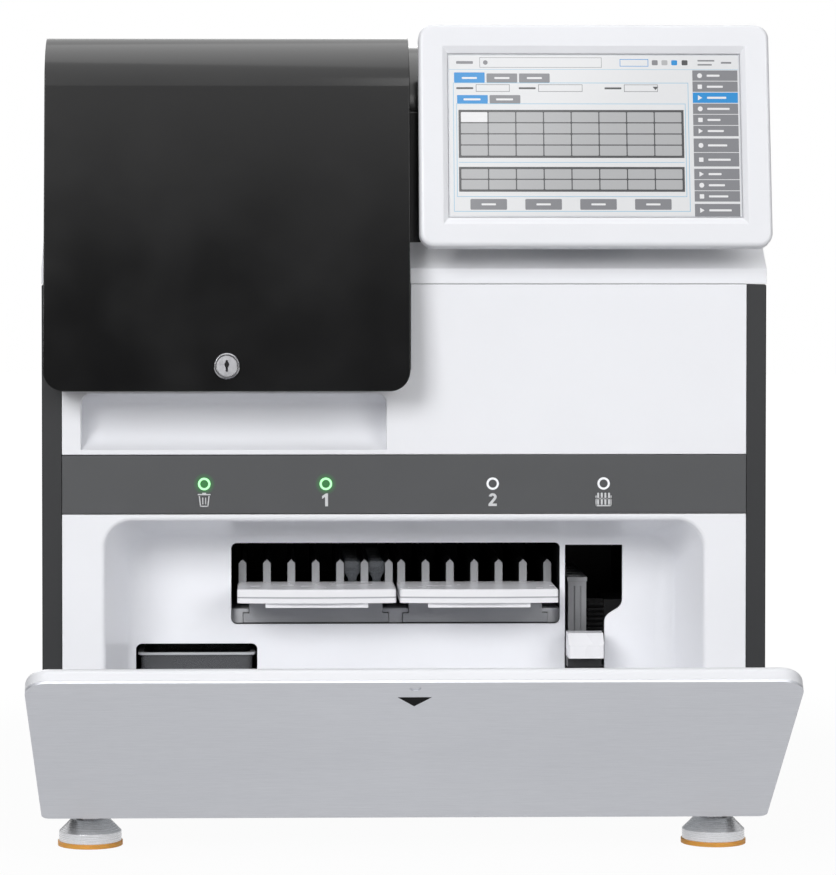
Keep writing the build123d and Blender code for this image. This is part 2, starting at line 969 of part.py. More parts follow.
# Cover hinges: leaves on the cover, ears on the housing and a pin through both
hinge_at = (at(cover_hinge_depth), cover_hinge_height)


with BuildPart() as cover_leaves:
    for x in cover_hinge_x:
        with BuildSketch(across(x, cover_knuckle_width)):
            with Locations(hinge_at):
                Circle(cover_knuckle)
            with Locations(((at(cover_rear) + hinge_at[0]) / 2, hinge_at[1])):
                Rectangle(hinge_at[0] - at(cover_rear), cover_knuckle)
            with Locations(hinge_at):
                Circle(cover_pin_diameter / 2 + running_gap, mode=Mode.SUBTRACT)
        extrude(amount=cover_knuckle_width)
write(cover_leaves.part, "cover_hinge_leaves")

ear_offset = cover_knuckle_width / 2 + seam + cover_ear_width / 2
hinge_base = 3.0
with BuildPart() as cover_ears:
    for x in cover_hinge_x:
        for side in (-1, 1):
            with BuildSketch(across(x + side * ear_offset, cover_ear_width)):
                with Locations(hinge_at):
                    Circle(cover_knuckle)
                with Locations(((at(bay_depth) + hinge_at[0]) / 2, hinge_at[1] - 2)):
                    Rectangle(at(bay_depth) - hinge_at[0], cover_knuckle + 4)
                with Locations(hinge_at):
                    Circle(cover_pin_diameter / 2 + running_gap, mode=Mode.SUBTRACT)
            extrude(amount=cover_ear_width)
        block(
            (x - ear_offset - cover_ear_width / 2, x + ear_offset + cover_ear_width / 2),
            (at(bay_depth) - hinge_base, at(bay_depth)),
            (hinge_at[1] - 22, hinge_at[1] - 2),
        )
write(cover_ears.part, "cover_hinge_ears")

pin_length = 2 * ear_offset + cover_ear_width
with BuildPart() as cover_pins:
    for x in cover_hinge_x:
        with BuildSketch(across(x, pin_length)):
            with Locations(hinge_at):
                Circle(cover_pin_diameter / 2)
        extrude(amount=pin_length)
write(cover_pins.part, "cover_hinge_pins")

# Cam lock in the cover
face_depth = 2.0
with BuildPart() as lock_barrel:
    with BuildSketch(lock_plane):
        Circle(lock_head / 2)
    extrude(amount=lock_head_proud)
    with BuildSketch(lock_plane):
        Circle(lock_body_diameter / 2)
    extrude(amount=-lock_body_length)
    chamfer(lock_barrel.faces().sort_by(Axis((0, 0, 0), lock_plane.z_dir))[-1].edges(), 0.8)
    with BuildSketch(lock_plane.offset(lock_head_proud)):
        Circle(lock_plug_diameter / 2 + running_gap)
    extrude(amount=-2 * lock_body_length, mode=Mode.SUBTRACT)
    with BuildSketch(lock_plane.offset(lock_head_proud)):
        Circle(lock_face / 2 + running_gap)
    extrude(amount=-face_depth - running_gap, mode=Mode.SUBTRACT)
write(lock_barrel.part, "lock_barrel")

with BuildPart() as lock_plug:
    with BuildSketch(lock_plane.offset(lock_head_proud)):
        Circle(lock_face / 2)
    extrude(amount=-face_depth)
    with BuildSketch(lock_plane.offset(lock_head_proud - face_depth)):
        Circle(lock_plug_diameter / 2)
    extrude(amount=-lock_body_length)
    with BuildSketch(lock_plane):
        Circle(lock_spindle / 2)
    extrude(amount=-lock_plug_length)
    with BuildSketch(lock_plane.offset(lock_head_proud)):
        Rectangle(keyway_width, keyway_length)
    extrude(amount=-lock_body_length / 2, mode=Mode.SUBTRACT)
write(lock_plug.part, "lock_plug")

with BuildPart() as lock_cam:
    with BuildSketch(lock_plane.offset(-lock_plug_length)):
        Circle(cam_hub / 2)
        with Locations((-cam_reach / 2, 0)):
            Rectangle(cam_reach, cam_width)
    extrude(amount=-cam_thickness)
    fillet(lock_cam.faces().sort_by(Axis.X)[0].edges().group_by(Axis.X)[0].sort_by(Edge.length)[:2], 1.0)
write(lock_cam.part, "lock_cam")

with BuildPart() as lock_strike:
    with BuildSketch(across(cover_mid, strike_width)):
        with BuildLine():
            Polyline(
                (front_y, strike_base),
                (front_y - strike_reach, strike_base),
                (front_y - strike_reach, strike_top),
                (front_y - strike_reach + sheet, strike_top),
                (front_y - strike_reach + sheet, strike_base + sheet),
                (front_y - sheet, strike_base + sheet),
                (front_y - sheet, strike_top + 2),
                (front_y, strike_top + 2),
                close=True,
            )
        make_face()
    extrude(amount=strike_width)
write(lock_strike.part, "lock_strike")

# Monitor, built on a plane that leans back with its face
tilt = radians(monitor_lean)
face_plane = Plane(
    origin=(monitor_x, front_y - monitor_forward, monitor_z),
    x_dir=(1, 0, 0),
    z_dir=(0, -cos(tilt), sin(tilt)),
)
with BuildPart() as monitor_bezel:
    with BuildSketch(face_plane):
        RectangleRounded(monitor_width, monitor_height, monitor_corner)
    extrude(amount=-bezel_depth)
    fillet(monitor_bezel.faces().sort_by(Axis((0, 0, 0), face_plane.z_dir))[-1].edges(), bezel_edge)
    with BuildSketch(face_plane):
        Rectangle(bevel_width, bevel_height)
    with BuildSketch(face_plane.offset(-bevel_depth)):
        Rectangle(window_width, window_height)
    loft(mode=Mode.SUBTRACT)
    with BuildSketch(face_plane.offset(-bevel_depth)):
        Rectangle(window_width + 2 * glass_overlap + 1, window_height + 2 * glass_overlap + 1)
    extrude(amount=-bezel_depth, mode=Mode.SUBTRACT)
write(monitor_bezel.part, "monitor_bezel")

with BuildPart() as monitor_screen:
    with BuildSketch(face_plane.offset(-bevel_depth)):
        Rectangle(window_width + 2 * glass_overlap, window_height + 2 * glass_overlap)
    extrude(amount=-screen_thickness)
write(monitor_screen.part, "monitor_screen")

back_width = monitor_width - 2 * monitor_back_inset
back_height = monitor_height - 2 * monitor_back_inset
with BuildPart() as monitor_back:
    with BuildSketch(face_plane.offset(-bezel_depth)):
        RectangleRounded(back_width, back_height, monitor_corner)
    with BuildSketch(face_plane.offset(-bezel_depth - monitor_back_depth)):
        RectangleRounded(
            back_width - 2 * monitor_back_taper,
            back_height - 2 * monitor_back_taper,
            monitor_corner,
        )
    loft()
    with BuildSketch(face_plane.offset(-bezel_depth)):
        RectangleRounded(back_width - 2 * skin, back_height - 2 * skin, monitor_corner - skin)
    with BuildSketch(face_plane.offset(-bezel_depth - monitor_back_depth + skin)):
        RectangleRounded(
            back_width - 2 * monitor_back_taper - 2 * skin,
            back_height - 2 * monitor_back_taper - 2 * skin,
            monitor_corner - skin,
        )
    loft(mode=Mode.SUBTRACT)
    with BuildSketch(face_plane.offset(-bezel_depth)):
        with Locations((0, back_height / 2 - monitor_back_taper - 18)):
            with GridLocations(14, 0, 9, 1):
                Rectangle(4, 22)
    extrude(amount=-2 * monitor_back_depth, mode=Mode.SUBTRACT)
write(monitor_back.part, "monitor_back")

# Monitor hinge: a yoke on the back shell and a bracket on the housing
monitor_axis = (at(monitor_axis_depth), monitor_axis_height)
back_plane = face_plane.offset(-bezel_depth - monitor_back_depth)
back_centre = back_plane.origin
with BuildPart() as monitor_yoke:
    with BuildSketch(back_plane):
        Rectangle(2 * yoke_half_width + 20, 44)
    extrude(amount=-yoke_plate)
    with BuildSketch(across(monitor_x, 2 * yoke_half_width)):
        with Locations(monitor_axis):
            Circle(monitor_knuckle)
        with BuildLine():
            Polyline(
                (back_centre.Y + 1, monitor_axis[1] - monitor_knuckle - 1),
                (monitor_axis[0], monitor_axis[1] - monitor_knuckle),
                (monitor_axis[0], monitor_axis[1] + monitor_knuckle),
                (back_centre.Y + 2, monitor_axis[1] + monitor_knuckle + 1),
                close=True,
            )
        make_face()
    extrude(amount=2 * yoke_half_width)
    monitor_pin_length = 2 * (yoke_half_width + seam + bracket_ear)
    with BuildSketch(across(monitor_x, monitor_pin_length)):
        with Locations(monitor_axis):
            Circle(monitor_pin_diameter / 2)
    extrude(amount=monitor_pin_length)
write(monitor_yoke.part, "monitor_yoke")

with BuildPart() as monitor_bracket:
    block(
        (monitor_x - yoke_half_width - 16, monitor_x + yoke_half_width + 16),
        (at(upper_setback) - hinge_base, at(upper_setback)),
        (monitor_axis[1] - 30, shell_top - 2),
    )
    for side in (-1, 1):
        with BuildSketch(across(monitor_x + side * (yoke_half_width + seam + bracket_ear / 2), bracket_ear)):
            with Locations(monitor_axis):
                Circle(monitor_knuckle)
            with Locations(((at(upper_setback) + monitor_axis[0]) / 2, monitor_axis[1])):
                Rectangle(at(upper_setback) - monitor_axis[0], 2 * monitor_knuckle)
            with Locations(monitor_axis):
                Circle(monitor_pin_diameter / 2 + running_gap, mode=Mode.SUBTRACT)
        extrude(amount=bracket_ear)
write(monitor_bracket.part, "monitor_bracket")

# Fold-down door, drawn upright and shut, then turned open about its hinge
door_axis = Axis((0, front_y - axis_forward, door_axis_z), (1, 0, 0))
door_face = -axis_forward - door_thickness / 2     # depth of the outer face
door_foot = door_axis_z - door_thickness / 2
door_top = door_foot + door_length


def door_outline():
    """The door's outline seen from the front."""
    middle = (door_foot + door_top) / 2
    with BuildSketch() as outline:
        with BuildLine():
            FilletPolyline(
                (-half, middle),
                (-half, door_foot),
                (half, door_foot),
                (half, middle),
                radius=door_bottom_radius,
            )
            FilletPolyline(
                (-half, middle),
                (-half, door_top),
                (half, door_top),
                (half, middle),
                radius=door_top_radius,
            )
        make_face()
    return outline.sketch


def opened(piece):
    return piece.rotate(door_axis, door_open_angle)


with BuildPart() as door_panel:
    with BuildSketch(wall_plane(door_face)):
        add(door_outline())
    extrude(amount=-door_skin)
    with BuildSketch(wall_plane(door_face)):
        with Locations((0, door_top - dimple_drop)):
            Circle(dimple_diameter / 2)
    extrude(amount=-door_skin / 3, mode=Mode.SUBTRACT)
write(opened(door_panel.part), "door_panel")

ear_slot = door_ear_width + 2 * seam
ear_clear = door_ear_radius + seam
with BuildPart() as door_liner:
    with BuildSketch(wall_plane(door_face + door_skin)):
        add(door_outline())
    extrude(amount=door_skin - door_thickness)
    lower_back = door_liner.edges().filter_by(Axis.X).sort_by(Axis.Z)[:2].sort_by(Axis.Y)[-1]
    fillet(lower_back, door_thickness / 2 - 0.5)
    with BuildSketch(wall_plane(door_face + door_thickness)):
        with Locations((0, (door_foot + door_top) / 2)):
            RectangleRounded(body_width - 2 * door_border, door_length - 2.4 * door_border, door_border)
    extrude(amount=door_recess, mode=Mode.SUBTRACT)
    for side in (-1, 1):
        x = side * door_hinge_x
        block(
            (x - ear_slot / 2, x + ear_slot / 2),
            (at(door_face + door_skin), at(door_face + door_thickness + 1)),
            (door_foot - 1, door_axis_z + ear_clear),
            mode=Mode.SUBTRACT,
        )
        with BuildSketch(across(x, ear_slot + 2 * door_pin_reach + 1)):
            with Locations((front_y - axis_forward, door_axis_z)):
                Circle(door_pin_diameter / 2 + running_gap)
        extrude(amount=ear_slot + 2 * door_pin_reach + 1, mode=Mode.SUBTRACT)
write(opened(door_liner.part), "door_liner")

# Door hinge brackets on the base tray, and their pins
with BuildPart() as door_brackets:
    for side in (-1, 1):
        x = side * door_hinge_x
        with BuildSketch(across(x, door_ear_width)):
            with Locations((front_y - axis_forward, door_axis_z)):
                Circle(door_ear_radius)
            with Locations(((front_y - axis_forward + at(tray_setback)) / 2, door_axis_z)):
                Rectangle(axis_forward + tray_setback, 2 * door_ear_radius)
            with Locations((front_y - axis_forward, door_axis_z)):
                Circle(door_pin_diameter / 2 + running_gap, mode=Mode.SUBTRACT)
        extrude(amount=door_ear_width)
        block(
            (x - 2 * door_ear_width, x + 2 * door_ear_width),
            (at(tray_setback) - hinge_base, at(tray_setback)),
            (door_axis_z - door_ear_radius, fascia_bottom - seam),
        )
write(door_brackets.part, "door_hinge_brackets")

door_pin_length = door_ear_width + 2 * door_pin_reach
with BuildPart() as door_pins:
    for side in (-1, 1):
        with BuildSketch(across(side * door_hinge_x, door_pin_length)):
            with Locations((front_y - axis_forward, door_axis_z)):
                Circle(door_pin_diameter / 2)
        extrude(amount=door_pin_length)
write(door_pins.part, "door_hinge_pins")

# Loader frame: two sheet metal shelves on three walls that stand on the base tray
shelf_top = carrier_bottom - rail_gap - sheet
lower_shelf = bin_bottom - rail_gap
loader_front = tub_depth + skin + seam
leg_lines = (waste_open_left - 3 * sheet, waste_open_right + 2 * sheet, tray_open_right - sheet)
with BuildPart() as loader_frame:
    for x, foot in zip(leg_lines, (1, -1, -1)):
        block((x, x + sheet), (at(loader_front), at(loader_back)), (post_bottom, shelf_top))
        block(
            sorted((x + sheet / 2, x + sheet / 2 + foot * loader_foot)),
            (at(loader_front), at(loader_back)),
            (post_bottom, post_bottom + sheet),
        )
    block(
        (leg_lines[0], leg_lines[-1] + sheet),
        (at(loader_front), at(loader_back)),
        (shelf_top - sheet, shelf_top),
    )
    block(
        (leg_lines[0], leg_lines[1] + sheet),
        (at(loader_front), at(loader_back)),
        (lower_shelf - sheet, lower_shelf),
    )
write(loader_frame.part, "loader_frame")

# Tray housing: a closed tunnel behind the tray opening
with BuildPart() as tray_housing:
    block(
        (tray_open_left - sheet, tray_open_right + sheet),
        (at(loader_front), at(loader_back)),
        (shelf_top, tray_open_top + sheet),
    )
    block(
        (tray_open_left, tray_open_right),
        (at(loader_front) - 1, at(loader_back - sheet)),
        (shelf_top + sheet, tray_open_top),
        mode=Mode.SUBTRACT,
    )
write(tray_housing.part, "tray_housing")

# Rails that hook over the carriers' lower flanges
shelf_face = shelf_top + sheet
flange_top = carrier_bottom + carrier_flange_height
flange_half = carrier_flange / 2 + rail_gap
web_half = carrier_web / 2 + rail_gap


def rail(left, right, hook_left, hook_right):
    """One rail's section: a post with a hook to either side."""
    block((left, right), (at(rail_start), at(tray_back)), (shelf_face, rail_top))
    block((hook_left, hook_right), (at(rail_start), at(tray_back)), (flange_top + rail_gap, rail_top))


with BuildPart() as tray_rails:
    first, second = tray_centres
    rail(tray_open_left, first - flange_half, tray_open_left, first - web_half)
    rail(first + flange_half, second - flange_half, first + web_half, second - web_half)
    rail(second + flange_half, tray_open_right, second + web_half, tray_open_right)
write(tray_rails.part, "tray_rails")


# Reagent trays: carrier, comb and bowed handle
def carrier(centre):
    """A T-section slide that the rails hold down."""
    with BuildPart() as piece:
        block(
            (centre - carrier_flange / 2, centre + carrier_flange / 2),
            (at(carrier_front), at(tray_back)),
            (carrier_bottom, flange_top),
        )
        block(
            (centre - carrier_web / 2, centre + carrier_web / 2),
            (at(carrier_front), at(tray_back)),
            (flange_top, carrier_top),
        )
        block(
            (centre - carrier_web / 2 + 4 * skin, centre + carrier_web / 2 - 4 * skin),
            (at(carrier_front + 4 * skin), at(tray_back - 4 * skin)),
            (carrier_bottom - 1, carrier_top - skin),
            mode=Mode.SUBTRACT,
        )
    return piece.part


def comb(centre):
    """A floor with upright ribs that part the strips."""
    with BuildPart() as piece:
        block(
            (centre - tray_width / 2, centre + tray_width / 2),
            (at(tray_rib_start), at(tray_back)),
            (carrier_top, carrier_top + comb_floor),
        )
        with BuildSketch(wall_plane(tray_rib_start)):
            with Locations((centre, 0)):
                with GridLocations(rib_pitch, 0, rib_count, 1):
                    Polygon(
                        (-rib_width / 2, carrier_top),
                        (rib_width / 2, carrier_top),
                        (rib_width / 2, rib_top - rib_notch),
                        (0, rib_top),
                        (-rib_width / 2, rib_top - rib_notch),
                        align=None,
                    )
        extrude(amount=tray_rib_start - tray_back)
    return piece.part


def handle(centre):
    """A bowed top plate, open beneath, with a narrower finger lip."""
    left = centre - tray_width / 2
    right = centre + tray_width / 2
    with BuildPart() as piece:
        with BuildSketch(Plane.XY.offset(handle_bottom)):
            with BuildLine():
                Polyline(
                    (right, at(tray_front + handle_bow)),
                    (right, at(tray_rib_start)),
                    (left, at(tray_rib_start)),
                    (left, at(tray_front + handle_bow)),
                )
                ThreePointArc(
                    (left, at(tray_front + handle_bow)),
                    (centre, at(tray_front)),
                    (right, at(tray_front + handle_bow)),
                )
            make_face()
        extrude(amount=handle_top - handle_bottom)
        fillet(piece.edges().filter_by(Axis.Z).sort_by(Axis.Y)[:2], 3)
        chamfer(piece.faces().sort_by(Axis.Z)[-1].edges().sort_by(Axis.Y)[:3], 1.0)
        block(
            (left + skin, right - skin),
            (at(tray_front + handle_bow + 2 * skin), at(tray_rib_start - skin)),
            (handle_bottom - 1, handle_top - skin),
            mode=Mode.SUBTRACT,
        )
        block(
            (centre - handle_lip_width / 2, centre + handle_lip_width / 2),
            (at(tray_front + handle_bow), at(tray_front + handle_bow + 2 * skin)),
            (handle_bottom - handle_lip_drop, handle_bottom),
        )
        block(
            (centre - carrier_web / 2, centre + carrier_web / 2),
            (at(carrier_front), at(tray_rib_start - skin)),
            (carrier_top, handle_top - skin),
        )
    return piece.part


for number, centre in enumerate(tray_centres, start=1):
    write(carrier(centre), f"tray_{number}_carrier")
    write(comb(centre), f"tray_{number}_comb")
    write(handle(centre), f"tray_{number}_handle")

# Loaded strips: a funnel-topped body with a row of wells
strip_bottom = carrier_top + comb_floor
strip_top = rib_top - 2.0
strip_neck = strip_bottom + 11
strip_funnel = strip_bottom + 17
with BuildPart() as reagent_strips:
    for position in strip_positions:
        x = tray_centres[0] + (position - (rib_count - 2) / 2) * rib_pitch
        with BuildSketch(wall_plane(tray_rib_start + 4)):
            with Locations((x, 0)):
                Polygon(
                    (-strip_width / 4, strip_bottom),
                    (strip_width / 4, strip_bottom),
                    (strip_width / 4, strip_neck),
                    (strip_width / 2, strip_funnel),
                    (strip_width / 2, strip_top),
                    (-strip_width / 2, strip_top),
                    (-strip_width / 2, strip_funnel),
                    (-strip_width / 4, strip_neck),
                    align=None,
                )
        extrude(amount=-strip_length)
        with BuildSketch(Plane.XY.offset(strip_top)):
            with Locations((x, at(tray_rib_start + 4 + strip_length / 2))):
                with GridLocations(0, strip_length / strip_wells, 1, strip_wells):
                    Rectangle(strip_width - 3, strip_length / strip_wells - 4)
        extrude(amount=-5, mode=Mode.SUBTRACT)
write(reagent_strips.part, "reagent_strips")

# Waste bin: a drafted open box with a rim
bin_middle = ((bin_left + bin_right) / 2, at((bin_front + bin_back) / 2))
bin_slope = degrees(atan(bin_draft / (bin_rim - bin_bottom)))
with BuildPart() as waste_bin:
    for plane_height, wall in ((bin_bottom, bin_wall), (bin_bottom + bin_wall, 2 * bin_wall)):
        with BuildSketch(Plane.XY.offset(bin_rim)):
            with Locations(bin_middle):
                RectangleRounded(
                    bin_right - bin_left - 2 * wall,
                    bin_back - bin_front - 2 * wall,
                    bin_corner,
                )
        extrude(
            amount=plane_height - bin_rim,
            taper=bin_slope,
            mode=Mode.ADD if wall == bin_wall else Mode.SUBTRACT,
        )
    with BuildSketch(Plane.XY.offset(bin_rim)):
        with Locations(bin_middle):
            RectangleRounded(bin_right - bin_left, bin_back - bin_front, bin_corner)
            RectangleRounded(
                bin_right - bin_left - 4 * bin_wall,
                bin_back - bin_front - 4 * bin_wall,
                bin_corner,
                mode=Mode.SUBTRACT,
            )
    extrude(amount=-bin_wall)
write(waste_bin.part, "waste_bin")

# Sample rack on its slide, with a white grip
with BuildPart() as rack_slide:
    block((slide_left, slide_right), (at(slide_front), at(slide_back)), (slide_bottom, rack_bottom))
    block(
        (rack_left - seam, rack_left + rack_width + seam),
        (at(rack_front) - seam, at(rack_front + rack_length) + seam),
        (rack_bottom - 2, rack_bottom + 1),
        mode=Mode.SUBTRACT,
    )
write(rack_slide.part, "rack_slide")

with BuildPart() as rack_grip:
    block((grip_left, grip_right), (at(grip_front), at(grip_back)), (grip_bottom, grip_top))
    chamfer(rack_grip.edges().filter_by(Axis.X).sort_by(Axis.Z)[-2:].sort_by(Axis.Y)[0], grip_chamfer)
    fillet(rack_grip.faces().sort_by(Axis.Y)[0].edges().filter_by(Axis.Z), 2)
write(rack_grip.part, "rack_grip")

rack_pitch = rack_length / rack_positions
with BuildPart() as sample_rack:
    block(
        (rack_left, rack_left + rack_width),
        (at(rack_front), at(rack_front + rack_length)),
        (rack_bottom - 1.6, rack_top),
    )
    block(
        (rack_left - rack_cap_overhang, rack_left + rack_width + rack_cap_overhang),
        (at(rack_front) - rack_cap_overhang, at(rack_front + rack_length) + rack_cap_overhang),
        (rack_top, rack_top + rack_cap),
    )
    rack_middle = (rack_left + rack_width / 2, at(rack_front + rack_length / 2))
    with BuildSketch(Plane.XY.offset(rack_top + rack_cap)):
        with Locations(rack_middle):
            with GridLocations(0, rack_pitch, 1, rack_positions):
                Circle(rack_bore / 2)
    extrude(amount=-(rack_top - rack_bottom) * 0.8, mode=Mode.SUBTRACT)
    with BuildSketch(wall_plane(rack_front)):
        with Locations((rack_middle[0], (rack_top + rack_bottom) / 2)):
            with GridLocations(5, 0, 2, 1):
                Rectangle(1.4, rack_top - rack_bottom - 8)
    extrude(amount=-1, mode=Mode.SUBTRACT)
write(sample_rack.part, "sample_rack")

# Rack channel, standing on the base tray, and the reader beside it
with BuildPart() as rack_channel:
    block(
        (rack_open_left - 1.2, channel_right),
        (at(loader_front), at(loader_back)),
        (post_bottom, channel_top),
    )
    block(
        (rack_open_left, channel_right - sheet),
        (at(loader_front) - 1, at(loader_back - sheet)),
        (channel_floor + sheet, channel_top - sheet),
        mode=Mode.SUBTRACT,
    )
    block(
        (rack_open_left, channel_right - sheet),
        (at(loader_front) - 1, at(loader_back) + 1),
        (post_bottom - 1, channel_floor),
        mode=Mode.SUBTRACT,
    )
write(rack_channel.part, "rack_channel")

with BuildPart() as barcode_reader:
    block((reader_left, reader_right), (at(reader_front), at(reader_back)), (reader_bottom, reader_top))
    block(
        (reader_left + 3, reader_right - 3),
        (at(reader_front + 12), at(reader_back - 12)),
        (channel_floor + sheet, reader_bottom),
    )
    for step in range(6):
        low = reader_bottom - 4 + step * 4
        block((reader_left - 13, reader_left), (at(reader_front + 2), at(reader_front + 8)), (low, low + 2))
    block(
        (reader_left - 13, reader_left),
        (at(reader_front + 8), at(reader_front + 10)),
        (reader_bottom - 4, reader_top),
    )
write(barcode_reader.part, "barcode_reader")

# Incubator block on the deck, its carousel and the motor beneath
centre_spot = (carousel_x, at(carousel_depth))
with BuildPart() as incubator:
    with BuildSketch(Plane.XY.offset(deck_top)):
        with Locations(centre_spot):
            Circle(incubator_diameter / 2)
    extrude(amount=incubator_height)
    with BuildSketch(Plane.XY.offset(deck_top + incubator_floor)):
        with Locations(centre_spot):
            Circle(incubator_diameter / 2 - incubator_wall)
    extrude(amount=incubator_height, mode=Mode.SUBTRACT)
    with Locations((*centre_spot, deck_top)):
        Cylinder(carousel_shaft / 2 + running_gap, 3 * incubator_floor, mode=Mode.SUBTRACT)
write(incubator.part, "incubator")

carousel_base = deck_top + incubator_floor + carousel_gap
carousel_top = carousel_base + carousel_thickness
with BuildPart() as carousel:
    with BuildSketch(Plane.XY.offset(carousel_base)):
        with Locations(centre_spot):
            Circle(carousel_diameter / 2)
    extrude(amount=carousel_thickness)
    with BuildSketch(Plane.XY.offset(carousel_top)):
        with Locations(centre_spot):
            Circle(cuvette_circle / 2 - 2.2 * cuvette_size)
    extrude(amount=-carousel_thickness / 3, mode=Mode.SUBTRACT)
    with BuildSketch(Plane.XY.offset(carousel_top)):
        with Locations(centre_spot):
            Circle(1.6 * carousel_shaft)
            with PolarLocations(cuvette_circle / 2, cuvette_count):
                Rectangle(cuvette_size * 1.6, cuvette_size)
    extrude(amount=cuvette_proud)
    with BuildSketch(Plane.XY.offset(carousel_top)):
        with Locations(centre_spot):
            Circle(1.6 * carousel_shaft)
    extrude(amount=-carousel_thickness / 3)
    with BuildSketch(Plane.XY.offset(carousel_base)):
        with Locations(centre_spot):
            Circle(carousel_shaft / 2)
    extrude(amount=deck_bottom - carousel_base - motor_length / 2)
write(carousel.part, "carousel")

with BuildPart() as carousel_motor:
    with BuildSketch(Plane.XY.offset(deck_bottom)):
        with Locations(centre_spot):
            RectangleRounded(motor_size, motor_size, 5)
            Circle(carousel_shaft / 2 + running_gap, mode=Mode.SUBTRACT)
    extrude(amount=-motor_length)
write(carousel_motor.part, "carousel_motor")

# Pipettor: column, lifting shaft, and a swinging arm with its probe
pipettor_spot = (pipettor_x, at(pipettor_depth))
with BuildPart() as pipettor_column:
    with BuildSketch(Plane.XY.offset(deck_top)):
        with Locations(pipettor_spot):
            RectangleRounded(column_diameter + 16, column_diameter + 16, 6)
    extrude(amount=6)
    with BuildSketch(Plane.XY.offset(deck_top + 6)):
        with Locations(pipettor_spot):
            Circle(column_diameter / 2)
    extrude(amount=column_height - 6)
    with BuildSketch(Plane.XY.offset(deck_top)):
        with Locations(pipettor_spot):
            Circle(shaft_diameter / 2 + running_gap)
    extrude(amount=column_height, mode=Mode.SUBTRACT)
write(pipettor_column.part, "pipettor_column")

shaft_foot = deck_top + lift_travel + 2
with BuildPart() as pipettor_shaft:
    with BuildSketch(Plane.XY.offset(shaft_foot)):
        with Locations(pipettor_spot):
            Circle(shaft_diameter / 2)
    extrude(amount=arm_height - seat_gap - shaft_foot)
write(pipettor_shaft.part, "pipettor_shaft")

probe_spot = (pipettor_x - arm_length, at(pipettor_depth))
with BuildPart() as pipettor_arm:
    with BuildSketch(Plane.XY.offset(arm_height)):
        with Locations(((pipettor_x - arm_length / 2), at(pipettor_depth))):
            SlotCenterToCenter(arm_length, arm_width)
    extrude(amount=arm_thickness)
    chamfer(pipettor_arm.faces().sort_by(Axis.Z)[-1].edges(), 3.5)
    with BuildSketch(Plane.XY.offset(arm_height)):
        with Locations(probe_spot):
            Circle(4)
    extrude(amount=-14)
    with BuildSketch(Plane.XY.offset(arm_height)):
        with Locations(probe_spot):
            Circle(probe_diameter / 2)
    extrude(amount=probe_tip - arm_height)
write(pipettor_arm.part, "pipettor_arm")

# Wash station with the probe's cup, and the detector with its light tube
with BuildPart() as wash_station:
    with BuildSketch(Plane.XY.offset(deck_top)):
        with Locations(probe_spot):
            RectangleRounded(station_width, station_depth, 5)
    extrude(amount=cup_top - deck_top)
    with BuildSketch(Plane.XY.offset(cup_top)):
        with Locations(probe_spot):
            Circle(cup_bore / 2)
    extrude(amount=-cup_depth, mode=Mode.SUBTRACT)
write(wash_station.part, "wash_station")

with BuildPart() as detector:
    block(
        (detector_left, detector_right),
        (at(detector_front), at(detector_back)),
        (deck_top, deck_top + detector_height),
    )
    fillet(detector.edges().filter_by(Axis.Z), 4)
    with BuildSketch(Plane.XY.offset(deck_top + detector_height)):
        with Locations(((detector_left + detector_right) / 2, at(detector_front) + tube_diameter / 2 + 6)):
            Circle(tube_diameter / 2)
    extrude(amount=tube_height)
write(detector.part, "detector")

# Power supply on the base tray
with BuildPart() as power_supply:
    block(
        (supply_left, supply_left + supply_width),
        (back_y - supply_depth - supply_inset, back_y - supply_inset),
        (post_bottom, post_bottom + supply_height),
    )
    fillet(power_supply.edges().filter_by(Axis.Z), 2)
write(power_supply.part, "power_supply")
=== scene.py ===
from math import atan, cos, pi, radians, sin, tan

import bmesh
import bpy
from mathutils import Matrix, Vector


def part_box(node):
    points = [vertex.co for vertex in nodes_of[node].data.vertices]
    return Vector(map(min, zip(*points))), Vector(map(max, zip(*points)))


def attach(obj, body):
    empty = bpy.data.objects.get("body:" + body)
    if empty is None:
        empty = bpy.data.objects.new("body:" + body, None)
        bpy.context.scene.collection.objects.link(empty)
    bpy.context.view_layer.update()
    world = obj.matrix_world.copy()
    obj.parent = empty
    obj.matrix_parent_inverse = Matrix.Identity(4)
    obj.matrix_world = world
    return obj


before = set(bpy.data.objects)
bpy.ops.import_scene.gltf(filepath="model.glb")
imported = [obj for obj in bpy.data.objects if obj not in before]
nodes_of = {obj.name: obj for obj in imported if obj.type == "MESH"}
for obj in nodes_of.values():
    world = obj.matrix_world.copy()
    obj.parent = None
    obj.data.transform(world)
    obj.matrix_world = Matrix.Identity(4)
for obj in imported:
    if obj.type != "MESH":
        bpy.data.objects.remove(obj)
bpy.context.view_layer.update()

mm = 0.001
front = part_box("indicator_band")[0].y
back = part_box("rear_panel")[1].y


# Colours and shader building

def srgb(red, green, blue):
    """A colour given on the 0 to 255 scale, as linear values."""
    scaled = [value / 255 for value in (red, green, blue)]
    return [v / 12.92 if v <= 0.04045 else ((v + 0.055) / 1.055) ** 2.4 for v in scaled]


